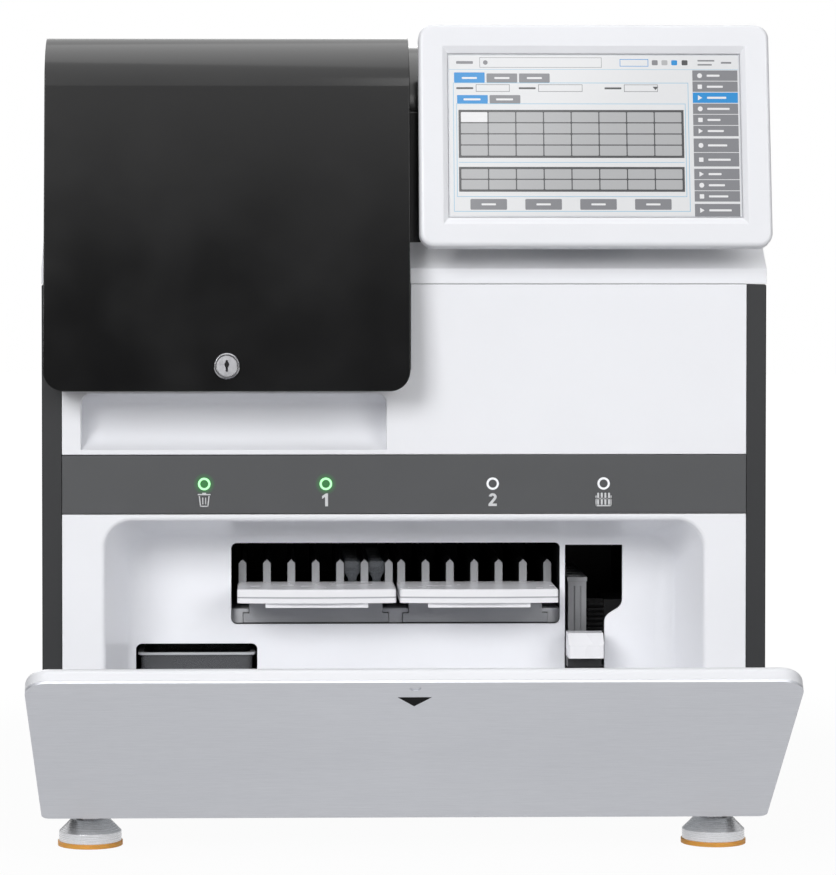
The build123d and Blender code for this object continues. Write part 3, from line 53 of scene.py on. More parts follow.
class Look:
    """A material that is being built: its nodes, its shader and the place in the part's frame."""

    def __init__(self, name):
        self.material = bpy.data.materials.new(name)
        self.material.use_nodes = True
        self.nodes = self.material.node_tree.nodes
        self.links = self.material.node_tree.links
        self.shader = self.nodes["Principled BSDF"]
        self.place = self.nodes.new("ShaderNodeTexCoord").outputs["Object"]

    def set(self, **values):
        for name, value in values.items():
            self.shader.inputs[name.replace("_", " ")].default_value = value

    def join(self, output, socket):
        self.links.new(output, self.shader.inputs[socket])

    def noise(self, scale, stretch=(1, 1, 1), detail=2):
        """Noise over the part, finer along an axis with a larger stretch."""
        mapping = self.nodes.new("ShaderNodeMapping")
        mapping.inputs["Scale"].default_value = stretch
        self.links.new(self.place, mapping.inputs["Vector"])
        texture = self.nodes.new("ShaderNodeTexNoise")
        texture.inputs["Scale"].default_value = scale
        texture.inputs["Detail"].default_value = detail
        self.links.new(mapping.outputs["Vector"], texture.inputs["Vector"])
        return texture.outputs["Fac"]

    def between(self, factor, low, high, start=0.3, end=0.7):
        """A value that runs from low to high with a factor."""
        span = self.nodes.new("ShaderNodeMapRange")
        span.inputs["From Min"].default_value = start
        span.inputs["From Max"].default_value = end
        span.inputs["To Min"].default_value = low
        span.inputs["To Max"].default_value = high
        self.links.new(factor, span.inputs["Value"])
        return span.outputs["Result"]

    def blend(self, factor, first, second):
        """A colour that runs from the first to the second with a factor."""
        mix = self.nodes.new("ShaderNodeMix")
        mix.data_type = "RGBA"
        self.links.new(factor, mix.inputs["Factor"])
        for colour, socket in ((first, mix.inputs["A"]), (second, mix.inputs["B"])):
            if isinstance(colour, (list, tuple)):
                socket.default_value = (*colour, 1)
            else:
                self.links.new(colour, socket)
        return mix.outputs["Result"]

    def cloudy(self, colour, spread, scale=8):
        """The base colour, a little uneven over the surface."""
        dark = [value * (1 - spread) for value in colour]
        light = [min(value * (1 + spread), 1) for value in colour]
        factor = self.between(self.noise(scale), 0, 1)
        return self.blend(factor, dark, light)

    def axis(self, name):
        """The place along X, Y or Z."""
        split = self.nodes.new("ShaderNodeSeparateXYZ")
        self.links.new(self.place, split.inputs["Vector"])
        return split.outputs[name]

    def distance_to(self, spot):
        """How far the place is from a spot."""
        distance = self.nodes.new("ShaderNodeVectorMath")
        distance.operation = "DISTANCE"
        distance.inputs[1].default_value = spot
        self.links.new(self.place, distance.inputs[0])
        return distance.outputs["Value"]

    def math(self, operation, *values):
        """A calculation on outputs and numbers."""
        step = self.nodes.new("ShaderNodeMath")
        step.operation = operation
        for value, socket in zip(values, step.inputs):
            if isinstance(value, (int, float)):
                socket.default_value = value
            else:
                self.links.new(value, socket)
        return step.outputs[0]

    def relief(self, height, strength, depth, edge=0):
        """Bump from a height, over edges rounded by a radius."""
        bump = self.nodes.new("ShaderNodeBump")
        bump.inputs["Strength"].default_value = strength
        bump.inputs["Distance"].default_value = depth
        self.links.new(height, bump.inputs["Height"])
        if edge:
            bevel = self.nodes.new("ShaderNodeBevel")
            bevel.samples = 6
            bevel.inputs["Radius"].default_value = edge
            self.links.new(bevel.outputs["Normal"], bump.inputs["Normal"])
        self.join(bump.outputs["Normal"], "Normal")


def plastic(name, colour, roughness, grain=0.12, level=0.5, edge=0.0006, spread=0.015):
    """Moulded plastic: a fine grain, a faint cloudiness and an uneven finish."""
    look = Look(name)
    look.join(look.cloudy(colour, spread), "Base Color")
    look.join(look.between(look.noise(25), roughness * 0.88, roughness * 1.12), "Roughness")
    look.set(Specular_IOR_Level=level)
    look.relief(look.noise(1800), grain, 0.00012, edge)
    return look.material


def gloss(name, colour, roughness, level):
    """Polished black plastic with a slight ripple in its reflections."""
    look = Look(name)
    look.join(look.cloudy(colour, 0.05, 5), "Base Color")
    look.join(look.between(look.noise(14), roughness * 0.8, roughness * 1.3), "Roughness")
    look.set(Specular_IOR_Level=level)
    look.relief(look.noise(45), 0.05, 0.0002, 0.0008)
    return look.material


def painted(name, colour, roughness, edge=0.0006):
    """Powder coat on sheet metal, with its orange peel."""
    look = Look(name)
    look.join(look.cloudy(colour, 0.015, 14), "Base Color")
    look.join(look.between(look.noise(260), roughness * 0.95, roughness * 1.05), "Roughness")
    look.set(Specular_IOR_Level=0.4)
    look.relief(look.noise(1400, detail=3), 0.1, 0.0001, edge)
    return look.material


def brushed(name, colour, roughness, stretch, metallic=1.0, depth=0.3, spread=0.08):
    """Metal with fine lines left by brushing or turning, drawn out across the stretch."""
    look = Look(name)
    lines = look.noise(40, stretch, 4)
    fine = look.noise(130, stretch, 3)
    dark = [value * (1 - spread) for value in colour]
    light = [min(value * (1 + spread), 1) for value in colour]
    look.join(look.blend(look.between(fine, 0, 1), dark, light), "Base Color")
    look.join(look.between(lines, roughness * 0.8, roughness * 1.25), "Roughness")
    look.set(Metallic=metallic, Anisotropic=0.4)
    look.relief(fine, depth, 0.00008, 0.0004)
    return look.material


def rubber(name, colour, roughness):
    """Cast elastomer, dull and slightly mottled."""
    look = Look(name)
    look.join(look.cloudy(colour, 0.08, 60), "Base Color")
    look.join(look.between(look.noise(160), roughness * 0.85, roughness * 1.15), "Roughness")
    look.set(Subsurface_Weight=0.15, Subsurface_Scale=0.002)
    look.relief(look.noise(700), 0.3, 0.0002, 0.0006)
    return look.material


def clear(name, colour, roughness, alpha):
    """Thin clear plastic."""
    look = Look(name)
    look.join(look.cloudy(colour, 0.06, 30), "Base Color")
    look.join(look.between(look.noise(40), roughness * 0.8, roughness * 1.4), "Roughness")
    look.set(Alpha=alpha)
    look.relief(look.noise(220), 0.06, 0.0001)
    return look.material


def lit(name, colour, glow, roughness=0.12):
    """An area of the lit display under its glass."""
    look = Look(name)
    dark = [value * 0.22 for value in colour]
    light = [value * 0.26 for value in colour]
    look.join(look.blend(look.noise(2500), dark, light), "Base Color")
    look.set(Emission_Color=(*colour, 1), Emission_Strength=glow, Roughness=roughness)
    return look.material


looks = {
    "white": plastic("white_shell", srgb(240, 241, 245), 0.34, edge=0.0012),
    # A darker copy of the white shell for the bezel and the door liner: painted shade that tones down faces
    # that catch more light.
    "white_painted_shade": plastic("white_bezel_painted_shade", srgb(227, 228, 232), 0.34, edge=0.0012),
    "white_gloss": plastic("white_tray", srgb(240, 240, 243), 0.26, 0.05, edge=0),
    "black_gloss": gloss("black_gloss", srgb(11, 11, 12), 0.13, 0.5),
    "side": painted("side_panel", srgb(33, 34, 36), 0.5),
    "black_sheet": painted("black_sheet", srgb(24, 24, 26), 0.45),
    "zinc": brushed("zinc_sheet", srgb(178, 181, 184), 0.42, (1, 6, 1)),
    "black_plastic": plastic("black_plastic", srgb(30, 30, 32), 0.42),
    "silver": brushed("door_silver", srgb(212, 214, 220), 0.42, (0.6, 14, 14), 0.55, 0.22, 0.035),
    "steel": brushed("turned_steel", srgb(200, 200, 203), 0.27, (1, 1, 30)),
    "foot": brushed("foot_steel", srgb(226, 227, 230), 0.26, (1, 1, 60), 0.5, 0.002, 0.02),
    "chrome": brushed("lock_chrome", srgb(150, 150, 153), 0.18, (12, 1, 12), 1.0, 0.02, 0.03),
    "plug": brushed("plug_chrome", srgb(150, 150, 153), 0.36, (12, 1, 12), 0.7, 0.02, 0.03),
    "aluminium": brushed("aluminium", srgb(205, 207, 211), 0.34, (1, 1, 18)),
    "pad": rubber("foot_pad", srgb(236, 168, 74), 0.5),
    "grey_tray": plastic("tray_grey", srgb(158, 159, 162), 0.5),
    "rail": plastic("rail_grey", srgb(190, 191, 194), 0.5),
    "comb": plastic("comb_grey", srgb(168, 169, 172), 0.42),
    "clear": clear("strip_plastic", srgb(108, 112, 118), 0.14, 0.5),
}

finishes = {
    "white": "upper_fascia lower_fascia shoulder monitor_back pipettor_arm wash_station",
    "white_painted_shade": "monitor_bezel door_liner",
    "white_gloss": "rack_grip",
    "black_gloss": "upper_shell top_cover flip_cover",
    "side": "side_panel_left side_panel_right rear_panel bay_liner",
    "black_sheet": "tray_housing rack_channel loader_frame monitor_bracket carousel_motor",
    "zinc": "base_tray frame power_supply",
    "black_plastic": "barcode_reader detector power_inlet power_rocker rack_slide",
    "silver": "door_panel",
    "steel": (
        "foot_nuts door_hinge_brackets door_hinge_pins cover_hinge_ears cover_hinge_pins "
        "cover_hinge_leaves lock_strike lock_cam monitor_yoke pipettor_shaft"
    ),
    "chrome": "lock_barrel",
    "plug": "lock_plug",
    "aluminium": "incubator carousel pipettor_column",
    "foot": "foot_bases",
    "pad": "foot_pads",
    "grey_tray": "tray_1_carrier tray_2_carrier",
    "rail": "tray_rails",
    "comb": "sample_rack",
    "clear": "reagent_strips",
}


def wear(node, material):
    """Gives a CAD node its finish."""
    slots = nodes_of[node].material_slots
    if not slots:
        nodes_of[node].data.materials.append(material)
    for slot in nodes_of[node].material_slots:
        slot.material = material


for finish, names in finishes.items():
    for node in names.split():
        wear(node, looks[finish])


# The waste bin, the combs and the tray handles

def bin_look():
    """Smoked clear plastic whose top rim is painted paler: a painted highlight for the glint on its
    polished edge.
    """
    look = Look("smoked_plastic")
    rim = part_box("waste_bin")[1].z
    # Painted highlight: the top 2 mm of the bin are painted pale and made more opaque.
    painted_rim_highlight = look.between(look.axis("Z"), 0, 1, rim - 2.4 * mm, rim - 1.6 * mm)
    smoke = look.cloudy(srgb(96, 97, 100), 0.05, 30)
    look.join(look.blend(painted_rim_highlight, smoke, srgb(190, 192, 195)), "Base Color")
    look.join(look.between(painted_rim_highlight, 0.62, 0.85, 0, 1), "Alpha")
    look.join(look.between(look.noise(40), 0.08, 0.14), "Roughness")
    look.relief(look.noise(220), 0.06, 0.0001)
    return look.material


def comb_look():
    """Pale front ends on combs whose parts behind are painted near black, as painted shade inside the tray
    housing.
    """
    look = Look("comb_ends")
    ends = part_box("tray_1_comb")[0].y
    # Painted shade: everything more than 3.5 mm behind the front ends is painted near black.
    painted_shade_behind = look.between(look.axis("Y"), 0, 1, ends + 2.5 * mm, ends + 3.5 * mm)
    pale = look.cloudy(srgb(162, 163, 166), 0.02)
    look.join(look.blend(painted_shade_behind, pale, srgb(22, 22, 24)), "Base Color")
    look.join(look.between(look.noise(25), 0.37, 0.47), "Roughness")
    look.relief(look.noise(1800), 0.12, 0.00012)
    return look.material


def handle_look():
    """The glossy white of the tray handles, with the fine joint line along their faces."""
    look = Look("white_handle")
    low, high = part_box("tray_1_handle")
    joint = low.z + 0.56 * (high.z - low.z)
    from_joint = look.math("ABSOLUTE", look.math("SUBTRACT", look.axis("Z"), joint))
    clean = look.between(from_joint, 0, 1, 0.3 * mm, 0.8 * mm)
    white = look.cloudy(srgb(240, 240, 243), 0.015)
    look.join(look.blend(clean, srgb(168, 169, 174), white), "Base Color")
    look.join(look.between(look.noise(25), 0.23, 0.29), "Roughness")
    look.relief(look.noise(1800), 0.05, 0.00012)
    return look.material


wear("waste_bin", bin_look())
for tray in (1, 2):
    wear(f"tray_{tray}_comb", comb_look())
    wear(f"tray_{tray}_handle", handle_look())


# The indicator band and its ring lamps

lamp_spots = [x * mm for x in (-154.9, -61.0, 68.0, 153.9)]
lamp_height = (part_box("lamp_rings")[0].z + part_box("lamp_rings")[1].z) / 2
lit_lamps = lamp_spots[:2]
lamp_boundary = 0.0
lit_from = 3 * mm


def band_look():
    """Matt grey with a painted green glow: the base colour turns green round the two lit lamps, as painted
    light.
    """
    look = Look("indicator_band")
    base = look.cloudy(srgb(70, 71, 73), 0.03, 20)
    glow_reach = 8.5 * mm
    centre_reach = 3 * mm
    for x in lit_lamps:
        distance = look.distance_to((x, front, lamp_height))
        # Painted light: the band is painted green close to each lit lamp, fading out by the glow reach.
        painted_glow = look.between(distance, 0.85, 0, centre_reach, glow_reach)
        base = look.blend(painted_glow, base, srgb(46, 132, 62))
    look.join(base, "Base Color")
    look.join(look.between(look.noise(50), 0.42, 0.54), "Roughness")
    look.relief(look.noise(1500), 0.15, 0.0001, 0.0005)
    return look.material


def lamp_look():
    """Translucent rings: lit pale green on the left, white on the right, where the unlit rings still get a
    faint grey glow as painted light.
    """
    look = Look("ring_lamps")
    side = look.between(look.axis("X"), 0, 1, lamp_boundary - mm, lamp_boundary + mm)
    distances = [look.distance_to((x, front, lamp_height)) for x in lamp_spots]
    nearest = distances[0]
    for distance in distances[1:]:
        nearest = look.math("MINIMUM", nearest, distance)
    bright = look.between(nearest, 0, 1, lit_from, lit_from + 0.3 * mm)
    dark = look.blend(side, srgb(50, 118, 62), srgb(70, 71, 73))
    pale = look.blend(side, srgb(190, 255, 195), srgb(240, 241, 244))
    # The lit rings on the left glow green; the unlit rings on the right glow faintly grey, which is painted
    # light.
    lamp_glow_and_painted_light = look.blend(side, srgb(150, 255, 165), (0.25, 0.25, 0.26))
    look.join(look.blend(bright, dark, pale), "Base Color")
    look.join(look.blend(bright, (0, 0, 0), lamp_glow_and_painted_light), "Emission Color")
    look.set(Emission_Strength=0.55, Roughness=0.3)
    return look.material


wear("indicator_band", band_look())
wear("lamp_rings", lamp_look())


# Mesh building

def flat_piece(name, shape, look, body):
    """Turns a bmesh into a piece that rides on a body."""
    bmesh.ops.recalc_face_normals(shape, faces=shape.faces)
    mesh = bpy.data.meshes.new(name)
    shape.to_mesh(mesh)
    shape.free()
    mesh.materials.append(look)
    made = bpy.data.objects.new(name, mesh)
    bpy.context.scene.collection.objects.link(made)
    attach(made, body)
    return made


class Sheet:
    """A plane on the part with millimetre places across and up it, and heights out of it."""

    def __init__(self, origin, across, up):
        self.origin = Vector(origin)
        self.across = Vector(across).normalized()
        self.up = Vector(up).normalized()
        self.out = self.across.cross(self.up)

    def at(self, u, v, height=0):
        return self.origin + (self.across * u + self.up * v + self.out * height) * mm

    def prism(self, shape, outline, low, high):
        """A closed plate with the given outline between two heights."""
        bottom = [shape.verts.new(self.at(u, v, low)) for u, v in outline]
        top = [shape.verts.new(self.at(u, v, high)) for u, v in outline]
        shape.faces.new(top)
        shape.faces.new(bottom[::-1])
        count = len(outline)
        for k in range(count):
            after = (k + 1) % count
            shape.faces.new((bottom[k], bottom[after], top[after], top[k]))

    def bar(self, shape, left, right, low, high, height, corner=0.0):
        """A rectangular plate, with rounded corners if asked."""
        outline = rounded(left, right, low, high, corner) if corner else [
            (left, low), (right, low), (right, high), (left, high)
        ]
        self.prism(shape, outline, height[0], height[1])


def rounded(left, right, low, high, corner, steps=4):
    """The outline of a rectangle with rounded corners."""
    centres = (
        (right - corner, high - corner, 0),
        (left + corner, high - corner, 1),
        (left + corner, low + corner, 2),
        (right - corner, low + corner, 3),
    )
    outline = []
    for x, y, quarter in centres:
        for k in range(steps + 1):
            angle = (quarter + k / steps) * pi / 2
            outline.append((x + corner * cos(angle), y + corner * sin(angle)))
    return outline


def disc(x, y, radius, steps=20):
    """The outline of a circle."""
    return [
        (x + radius * cos(2 * pi * k / steps), y + radius * sin(2 * pi * k / steps))
        for k in range(steps)
    ]


# Signs printed on the band: a bin, the numbers 1 and 2, and a rack of tubes

print_height = (0.0, 0.08)
print_look = plastic("band_print", srgb(214, 215, 217), 0.45)
band_face = Sheet((0, front, 0), (1, 0, 0), (0, 0, 1))
sign_middle = 273.9


def bin_sign(x):
    """A bin: a lid bar with its knob over a tapered body with two bars."""
    shape = bmesh.new()
    foot = sign_middle - 5.3
    body_low = sign_middle - 4.9
    body_high = sign_middle + 3.1
    lid_low = sign_middle + 3.7
    lid_high = sign_middle + 4.7
    knob_high = sign_middle + 5.6
    band_face.bar(shape, x - 5, x + 5, lid_low, lid_high, print_height, 0.4)
    band_face.bar(shape, x - 1.5, x + 1.5, lid_high, knob_high, print_height)
    for side in (-1, 1):
        wall = [
            (x + side * 4.2, body_high), (x + side * 3.3, body_low),
            (x + side * 2.4, body_low), (x + side * 3.3, body_high),
        ]
        band_face.prism(shape, wall, *print_height)
        bar_middle = x + side * 1.1
        bar_low = sign_middle - 3.3
        bar_high = sign_middle + 1.9
        band_face.bar(shape, bar_middle - 0.4, bar_middle + 0.4, bar_low, bar_high, print_height)
    band_face.bar(shape, x - 3.3, x + 3.3, foot, sign_middle - 4.4, print_height)
    flat_piece("sign_bin", shape, print_look, "chassis")


def rack_sign(x):
    """A rack: four tubes that stand in a holder."""
    shape = bmesh.new()
    tube_step = 2.8
    tube_half = 0.75
    tube_low = sign_middle - 4.1
    tube_high = sign_middle + 5.3
    holder_half = 6.2
    foot = sign_middle - 5.3
    foot_top = sign_middle - 4.3
    rail = sign_middle + 0.3
    rail_top = sign_middle + 1.1
    for k in range(4):
        tube = x + (k - 1.5) * tube_step
        band_face.bar(shape, tube - tube_half, tube + tube_half, tube_low, tube_high, print_height, 0.7)
    band_face.bar(shape, x - holder_half, x + holder_half, foot, foot_top, print_height)
    band_face.bar(shape, x - holder_half, x + holder_half, rail, rail_top, print_height)
    for side in (-1, 1):
        post = x + side * 5.8
        band_face.bar(shape, post - 0.4, post + 0.4, foot, sign_middle + 3.1, print_height)
    flat_piece("sign_rack", shape, print_look, "chassis")


def one_sign(x):
    """The number one: a bold stem with its flag."""
    shape = bmesh.new()
    top = sign_middle + 5
    bottom = sign_middle - 5
    outline = [
        (x - 0.6, bottom), (x + 1.7, bottom), (x + 1.7, top), (x, top),
        (x - 2.9, top - 2.1), (x - 2.9, top - 4.2), (x - 0.6, top - 2.8),
    ]
    band_face.prism(shape, outline, *print_height)
    flat_piece("sign_one", shape, print_look, "chassis")


def two_sign(x):
    """The number two: a bowl, a slant and a foot, drawn as one bold stroke."""
    shape = bmesh.new()
    bowl = sign_middle + 2.1
    outer = 3.1
    inner = 1.0
    flat = 0.94
    foot = sign_middle - 5
    turns = [radians(170 - 205 * k / 10) for k in range(11)]
    outside = [(x + outer * cos(a), bowl + outer * flat * sin(a)) for a in turns]
    inside = [(x + inner * cos(a), bowl + inner * flat * sin(a)) for a in turns]
    base = [
        (x - 0.2, foot + 2), (x + 3.2, foot + 2), (x + 3.2, foot), (x - 3.3, foot), (x - 3.3, foot + 1.6),
    ]
    stroke = outside + base + inside[::-1]
    band_face.prism(shape, stroke, *print_height)
    flat_piece("sign_two", shape, print_look, "chassis")


bin_sign(lamp_spots[0] / mm)
one_sign(lamp_spots[1] / mm)
two_sign(lamp_spots[2] / mm)
rack_sign(lamp_spots[3] / mm)


# The arrow printed on the door's outer face, below its dimple

door_lean = radians(56.5)
door_up = Vector((0, -sin(door_lean), cos(door_lean)))
door_out = Vector((0, -cos(door_lean), -sin(door_lean)))


def door_top_edge():
    """The middle of the outer face's upper edge, from the panel's foremost and highest places."""
    panel = nodes_of["door_panel"].data
    along = max(v.co.dot(door_up) for v in panel.vertices)
    outward = max(v.co.dot(door_out) for v in panel.vertices)
    return door_up * along + door_out * outward


door_face = Sheet(door_top_edge(), (1, 0, 0), door_up)
arrow_half = 12.3
arrow_top = -23.2
arrow_tip = -37.8
arrow_look = plastic("arrow_print", srgb(6, 6, 7), 0.7, level=0.1)
arrow = bmesh.new()
door_face.prism(arrow, [(-arrow_half, arrow_top), (0, arrow_tip), (arrow_half, arrow_top)], 0.0, 0.06)
flat_piece("door_arrow", arrow, arrow_look, "door")


# The keyway in the lock's plug: a near-black plate on the plug's face, painted shade where the slot is

lock_lean = radians(5.93)
plug_out = Vector((0, -cos(lock_lean), sin(lock_lean)))
plug_low, plug_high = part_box("lock_plug")
plug_reach = max(v.co.dot(plug_out) for v in nodes_of["lock_plug"].data.vertices)
plug_middle = (plug_low + plug_high) / 2
plug_middle += plug_out * (plug_reach - plug_middle.dot(plug_out))
plug_face = Sheet(plug_middle, (1, 0, 0), (0, sin(lock_lean), cos(lock_lean)))
keyway_high = 2.9
keyway_half = 2.0
keyway_end = 0.7
keyway_outline = [
    (keyway_end, -keyway_high), (keyway_half, 0), (keyway_end, keyway_high),
    (-keyway_end, keyway_high), (-keyway_half, 0), (-keyway_end, -keyway_high),
]
keyway_shade_look = plastic("keyway_painted_shade", srgb(8, 8, 9), 0.6, level=0.2)
keyway = bmesh.new()
plug_face.prism(keyway, keyway_outline, -0.05, 0.06)
flat_piece("keyway", keyway, keyway_shade_look, "lock")


# The display: a page with tabs, a grid, buttons and a menu, with plain bars in place of words

monitor_tilt = radians(10)
screen_low, screen_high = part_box("monitor_screen")
screen_thickness = 6.8
screen_up = Vector((0, sin(monitor_tilt), cos(monitor_tilt)))
screen_out = Vector((0, -cos(monitor_tilt), sin(monitor_tilt)))
screen_middle = (screen_low + screen_high) / 2 + screen_out * screen_thickness / 2 * mm
screen = Sheet(screen_middle, (1, 0, 0), screen_up)
half_wide = 222.7 / 2
half_high = 125.3 / 2
layers = [(0.0, 0.02), (0.0, 0.03), (0.0, 0.04)]
inks = {
    "paper": srgb(243, 244, 246),
    "blue": srgb(0, 150, 226),
    "grey": srgb(139, 140, 145),
    "slate": srgb(74, 75, 78),
    "cell": srgb(190, 191, 193),
    "line": srgb(150, 205, 235),
    "white": srgb(250, 250, 252),
}
glow = 0.55
ink_looks = {name: lit("display_" + name, colour, glow) for name, colour in inks.items()}
ink_shapes = {}


def ink(name, layer):
    """The bmesh that holds one ink of one layer."""
    return ink_shapes.setdefault((name, layer), bmesh.new())


def area(name, layer, left, right, low, high, corner=0.0):
    screen.bar(ink(name, layer), left, right, low, high, layers[layer], corner)


def outline(name, layer, left, right, low, high, width=0.45):
    """A thin frame of four bars."""
    area(name, layer, left, right, low, low + width)
    area(name, layer, left, right, high - width, high)
    area(name, layer, left, left + width, low, high)
    area(name, layer, right - width, right, low, high)


def words(name, layer, left, middle, length, height=1.5):
    """A bar where a word would be."""
    area(name, layer, left, left + length, middle - height / 2, middle + height / 2, height * 0.3)


def grid(left, right, low, high, columns, rows):
    """A dark field of pale cells."""
    area("slate", 1, left, right, low, high)
    margin = 1.8
    gap = 0.9
    wide = (right - left - 2 * margin + gap) / columns
    tall = (high - low - 2 * margin + gap) / rows
    for column in range(columns):
        for row in range(rows):
            x = left + margin + column * wide
            y = low + margin + row * tall
            first = column == 0 and row == rows - 1 and rows > 2
            area("white" if first else "cell", 2, x, x + wide - gap, y, y + tall - gap, 0.7)


menu_left = 75.8
menu_right = 110.6
page_left = -108.5
page_right = 72.5

area("paper", 0, -half_wide, half_wide, -half_high, half_high)

# The bar along the top

bar_middle = 57.2
area("line", 1, -half_wide, half_wide, 51.6, 51.9)
outline("grey", 1, -88, 6, 53.2, 61.2, 0.35)
words("grey", 1, -106, bar_middle, 13, 2.2)
screen.prism(ink("grey", 2), disc(-83.5, bar_middle, 1.8), *layers[2])
outline("blue", 1, 20, 42, 54.2, 60)
for place, tone in ((47, "grey"), (54.5, "cell"), (62, "blue"), (70, "slate")):
    area(tone, 1, place - 2.3, place + 2.3, bar_middle - 2, bar_middle + 2, 0.8)
words("grey", 1, 80, bar_middle + 1.6, 13, 1.2)
words("grey", 1, 80, bar_middle - 1.6, 11, 1.2)
words("grey", 1, 98, bar_middle, 8, 1.4)

# Two rows of tabs, the fields between them and the two grids

tab_width = 23.6
tab_step = 25
page_top = 41.4
inner_top = 25
field_low = 34.2
field_high = 40
outline("line", 1, page_left, page_right, -59.5, page_top)
for number, tone in enumerate(("blue", "grey", "grey")):
    left = page_left + 0.8 + number * tab_step
    tab_top = 49.4 if number == 0 else 48.6
    area(tone, 1, left, left + tab_width, page_top, tab_top, 0.6)
    words("white", 2, left + 6, 45, 11.6)

for left, box_width in ((-106, 26), (-58, 34), (8, 26)):
    words("slate", 1, left, 37, 13)
    outline("grey", 1, left + 15, left + 15 + box_width, field_low, field_high)
screen.prism(ink("slate", 2), [(45, 38.3), (47.2, 35.6), (49.4, 38.3)], *layers[2])

for number, tone in enumerate(("blue", "grey")):
    left = page_left + 3 + number * tab_step
    area(tone, 1, left, left + tab_width, inner_top, 31.6, 0.6)
    words("white", 2, left + 5, 28.2, 13)

grid_left = page_left + 4
grid_right = page_right - 4
outline("line", 1, page_left + 2.4, page_right - 2.4, -48, inner_top)
grid(grid_left, grid_right, -17.6, 20, 8, 4)
area("line", 1, grid_left, grid_right, -21.3, -20.9)
grid(grid_left, grid_right, -44, -24.6, 8, 2)

# Four buttons below, and the menu on the right

button_width = 28
button_step = 42
for number in range(4):
    left = -96 + number * button_step
    area("grey", 1, left, left + button_width, -58, -49.6, 0.8)
    words("white", 2, left + 8.5, -53.8, 11)

menu_rows = ((6, 8.7), (2, 11.2), (3, 8.7), (1, 10.4))
menu_top = 51.2
row_number = 0
for rows, row_height in menu_rows:
    for _ in range(rows):
        tone = "blue" if row_number == 2 else "grey"
        area(tone, 1, menu_left, menu_right, menu_top - row_height + 0.5, menu_top)
        row_middle = menu_top - row_height / 2 + 0.2
        words("white", 2, menu_left + 11, row_middle, 10 + 2.4 * (row_number * 5 % 4), 1.6)
        sign = menu_left + 5.6
        if row_number % 3 == 0:
            screen.prism(ink("white", 2), disc(sign, row_middle, 1.9), *layers[2])
        elif row_number % 3 == 1:
            area("white", 2, sign - 1.7, sign + 1.7, row_middle - 1.7, row_middle + 1.7, 0.4)
        else:
            pointer = [(sign - 1.6, row_middle - 2), (sign + 1.8, row_middle), (sign - 1.6, row_middle + 2)]
            screen.prism(ink("white", 2), pointer, *layers[2])
        menu_top -= row_height
        row_number += 1
    menu_top -= 1.3

for (name, layer), shape in sorted(ink_shapes.items()):
    flat_piece(f"display_{name}_{layer + 1}", shape, ink_looks[name], "monitor")


def glass_look():
    """Pale glass, seen round the lit area."""
    look = Look("touch_glass")
    look.join(look.cloudy(srgb(196, 199, 204), 0.02, 12), "Base Color")
    look.set(Roughness=0.07)
    return look.material


wear("monitor_screen", glass_look())


# Screws on the back, with a hexagonal socket in a domed head

def screw(shape, sheet, u, v, radius=3.0):
    """A domed head with a hexagonal socket, standing out of a sheet."""
    profile = (
        (radius, 0.0), (radius, 0.5), (0.93 * radius, 0.95), (0.78 * radius, 1.35),
        (0.6 * radius, 1.6), (0.52 * radius, 1.62), (0.5 * radius, 1.5), (0.5 * radius, 0.55),
    )
    steps = 24
    socket_rings = 2
    rings = []
    for number, (reach, height) in enumerate(profile):
        ring = []
        for k in range(steps):
            angle = 2 * pi * k / steps
            in_socket = number >= len(profile) - socket_rings
            hexagon = cos(pi / 6) / cos(angle % (pi / 3) - pi / 6)
            distance = reach * hexagon if in_socket else reach
            spot = sheet.at(u + distance * cos(angle), v + distance * sin(angle), height)
            ring.append(shape.verts.new(spot))
        rings.append(ring)
    for lower, upper in zip(rings, rings[1:]):
        for k in range(steps):
            after = (k + 1) % steps
            shape.faces.new((lower[k], lower[after], upper[after], upper[k]))
    shape.faces.new(rings[-1])
    shape.faces.new(rings[0][::-1])


rear_face = Sheet((0, back, 0), (-1, 0, 0), (0, 0, 1))
panel_low, panel_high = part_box("rear_panel")
inset = 8
rear_screws = bmesh.new()
edge_x = panel_high.x / mm - inset
low_z = panel_low.z / mm + inset
high_z = panel_high.z / mm - inset
middle_z = (low_z + high_z) / 2
for x in (-edge_x, 0, edge_x):
    for z in (low_z, middle_z, high_z):
        if x or z != middle_z:
            screw(rear_screws, rear_face, x, z)
side_x = (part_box("side_panel_right")[0].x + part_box("side_panel_right")[1].x) / 2 / mm
side_heights = (60, 243, 425)
for x in (-side_x, side_x):
    for z in side_heights:
        screw(rear_screws, rear_face, x, z, 2.6)
shell_low, shell_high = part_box("upper_shell")
shell_inset = 12
shell_places = (-265, -90, 90, 265)
for x in shell_places:
    for z in (shell_low.z / mm + shell_inset, shell_high.z / mm - shell_inset):
        screw(rear_screws, rear_face, x, z)
flat_piece("rear_screws", rear_screws, looks["steel"], "chassis")

shell_reach = max(-v.co.dot(screen_out) for v in nodes_of["monitor_back"].data.vertices)
screen_reach = -screen_middle.dot(screen_out)
monitor_rear = Sheet(screen_middle - screen_out * (shell_reach - screen_reach), (-1, 0, 0), screen_up)
monitor_screws = bmesh.new()
across = 98
above = 50
for u in (-across, across):
    for v in (-above, above):
        screw(monitor_screws, monitor_rear, u, v, 2.4)
flat_piece("monitor_screws", monitor_screws, looks["steel"], "monitor")


# Floor, backdrop and light

shadows_fade = 0.6
shadows_end = 1.6


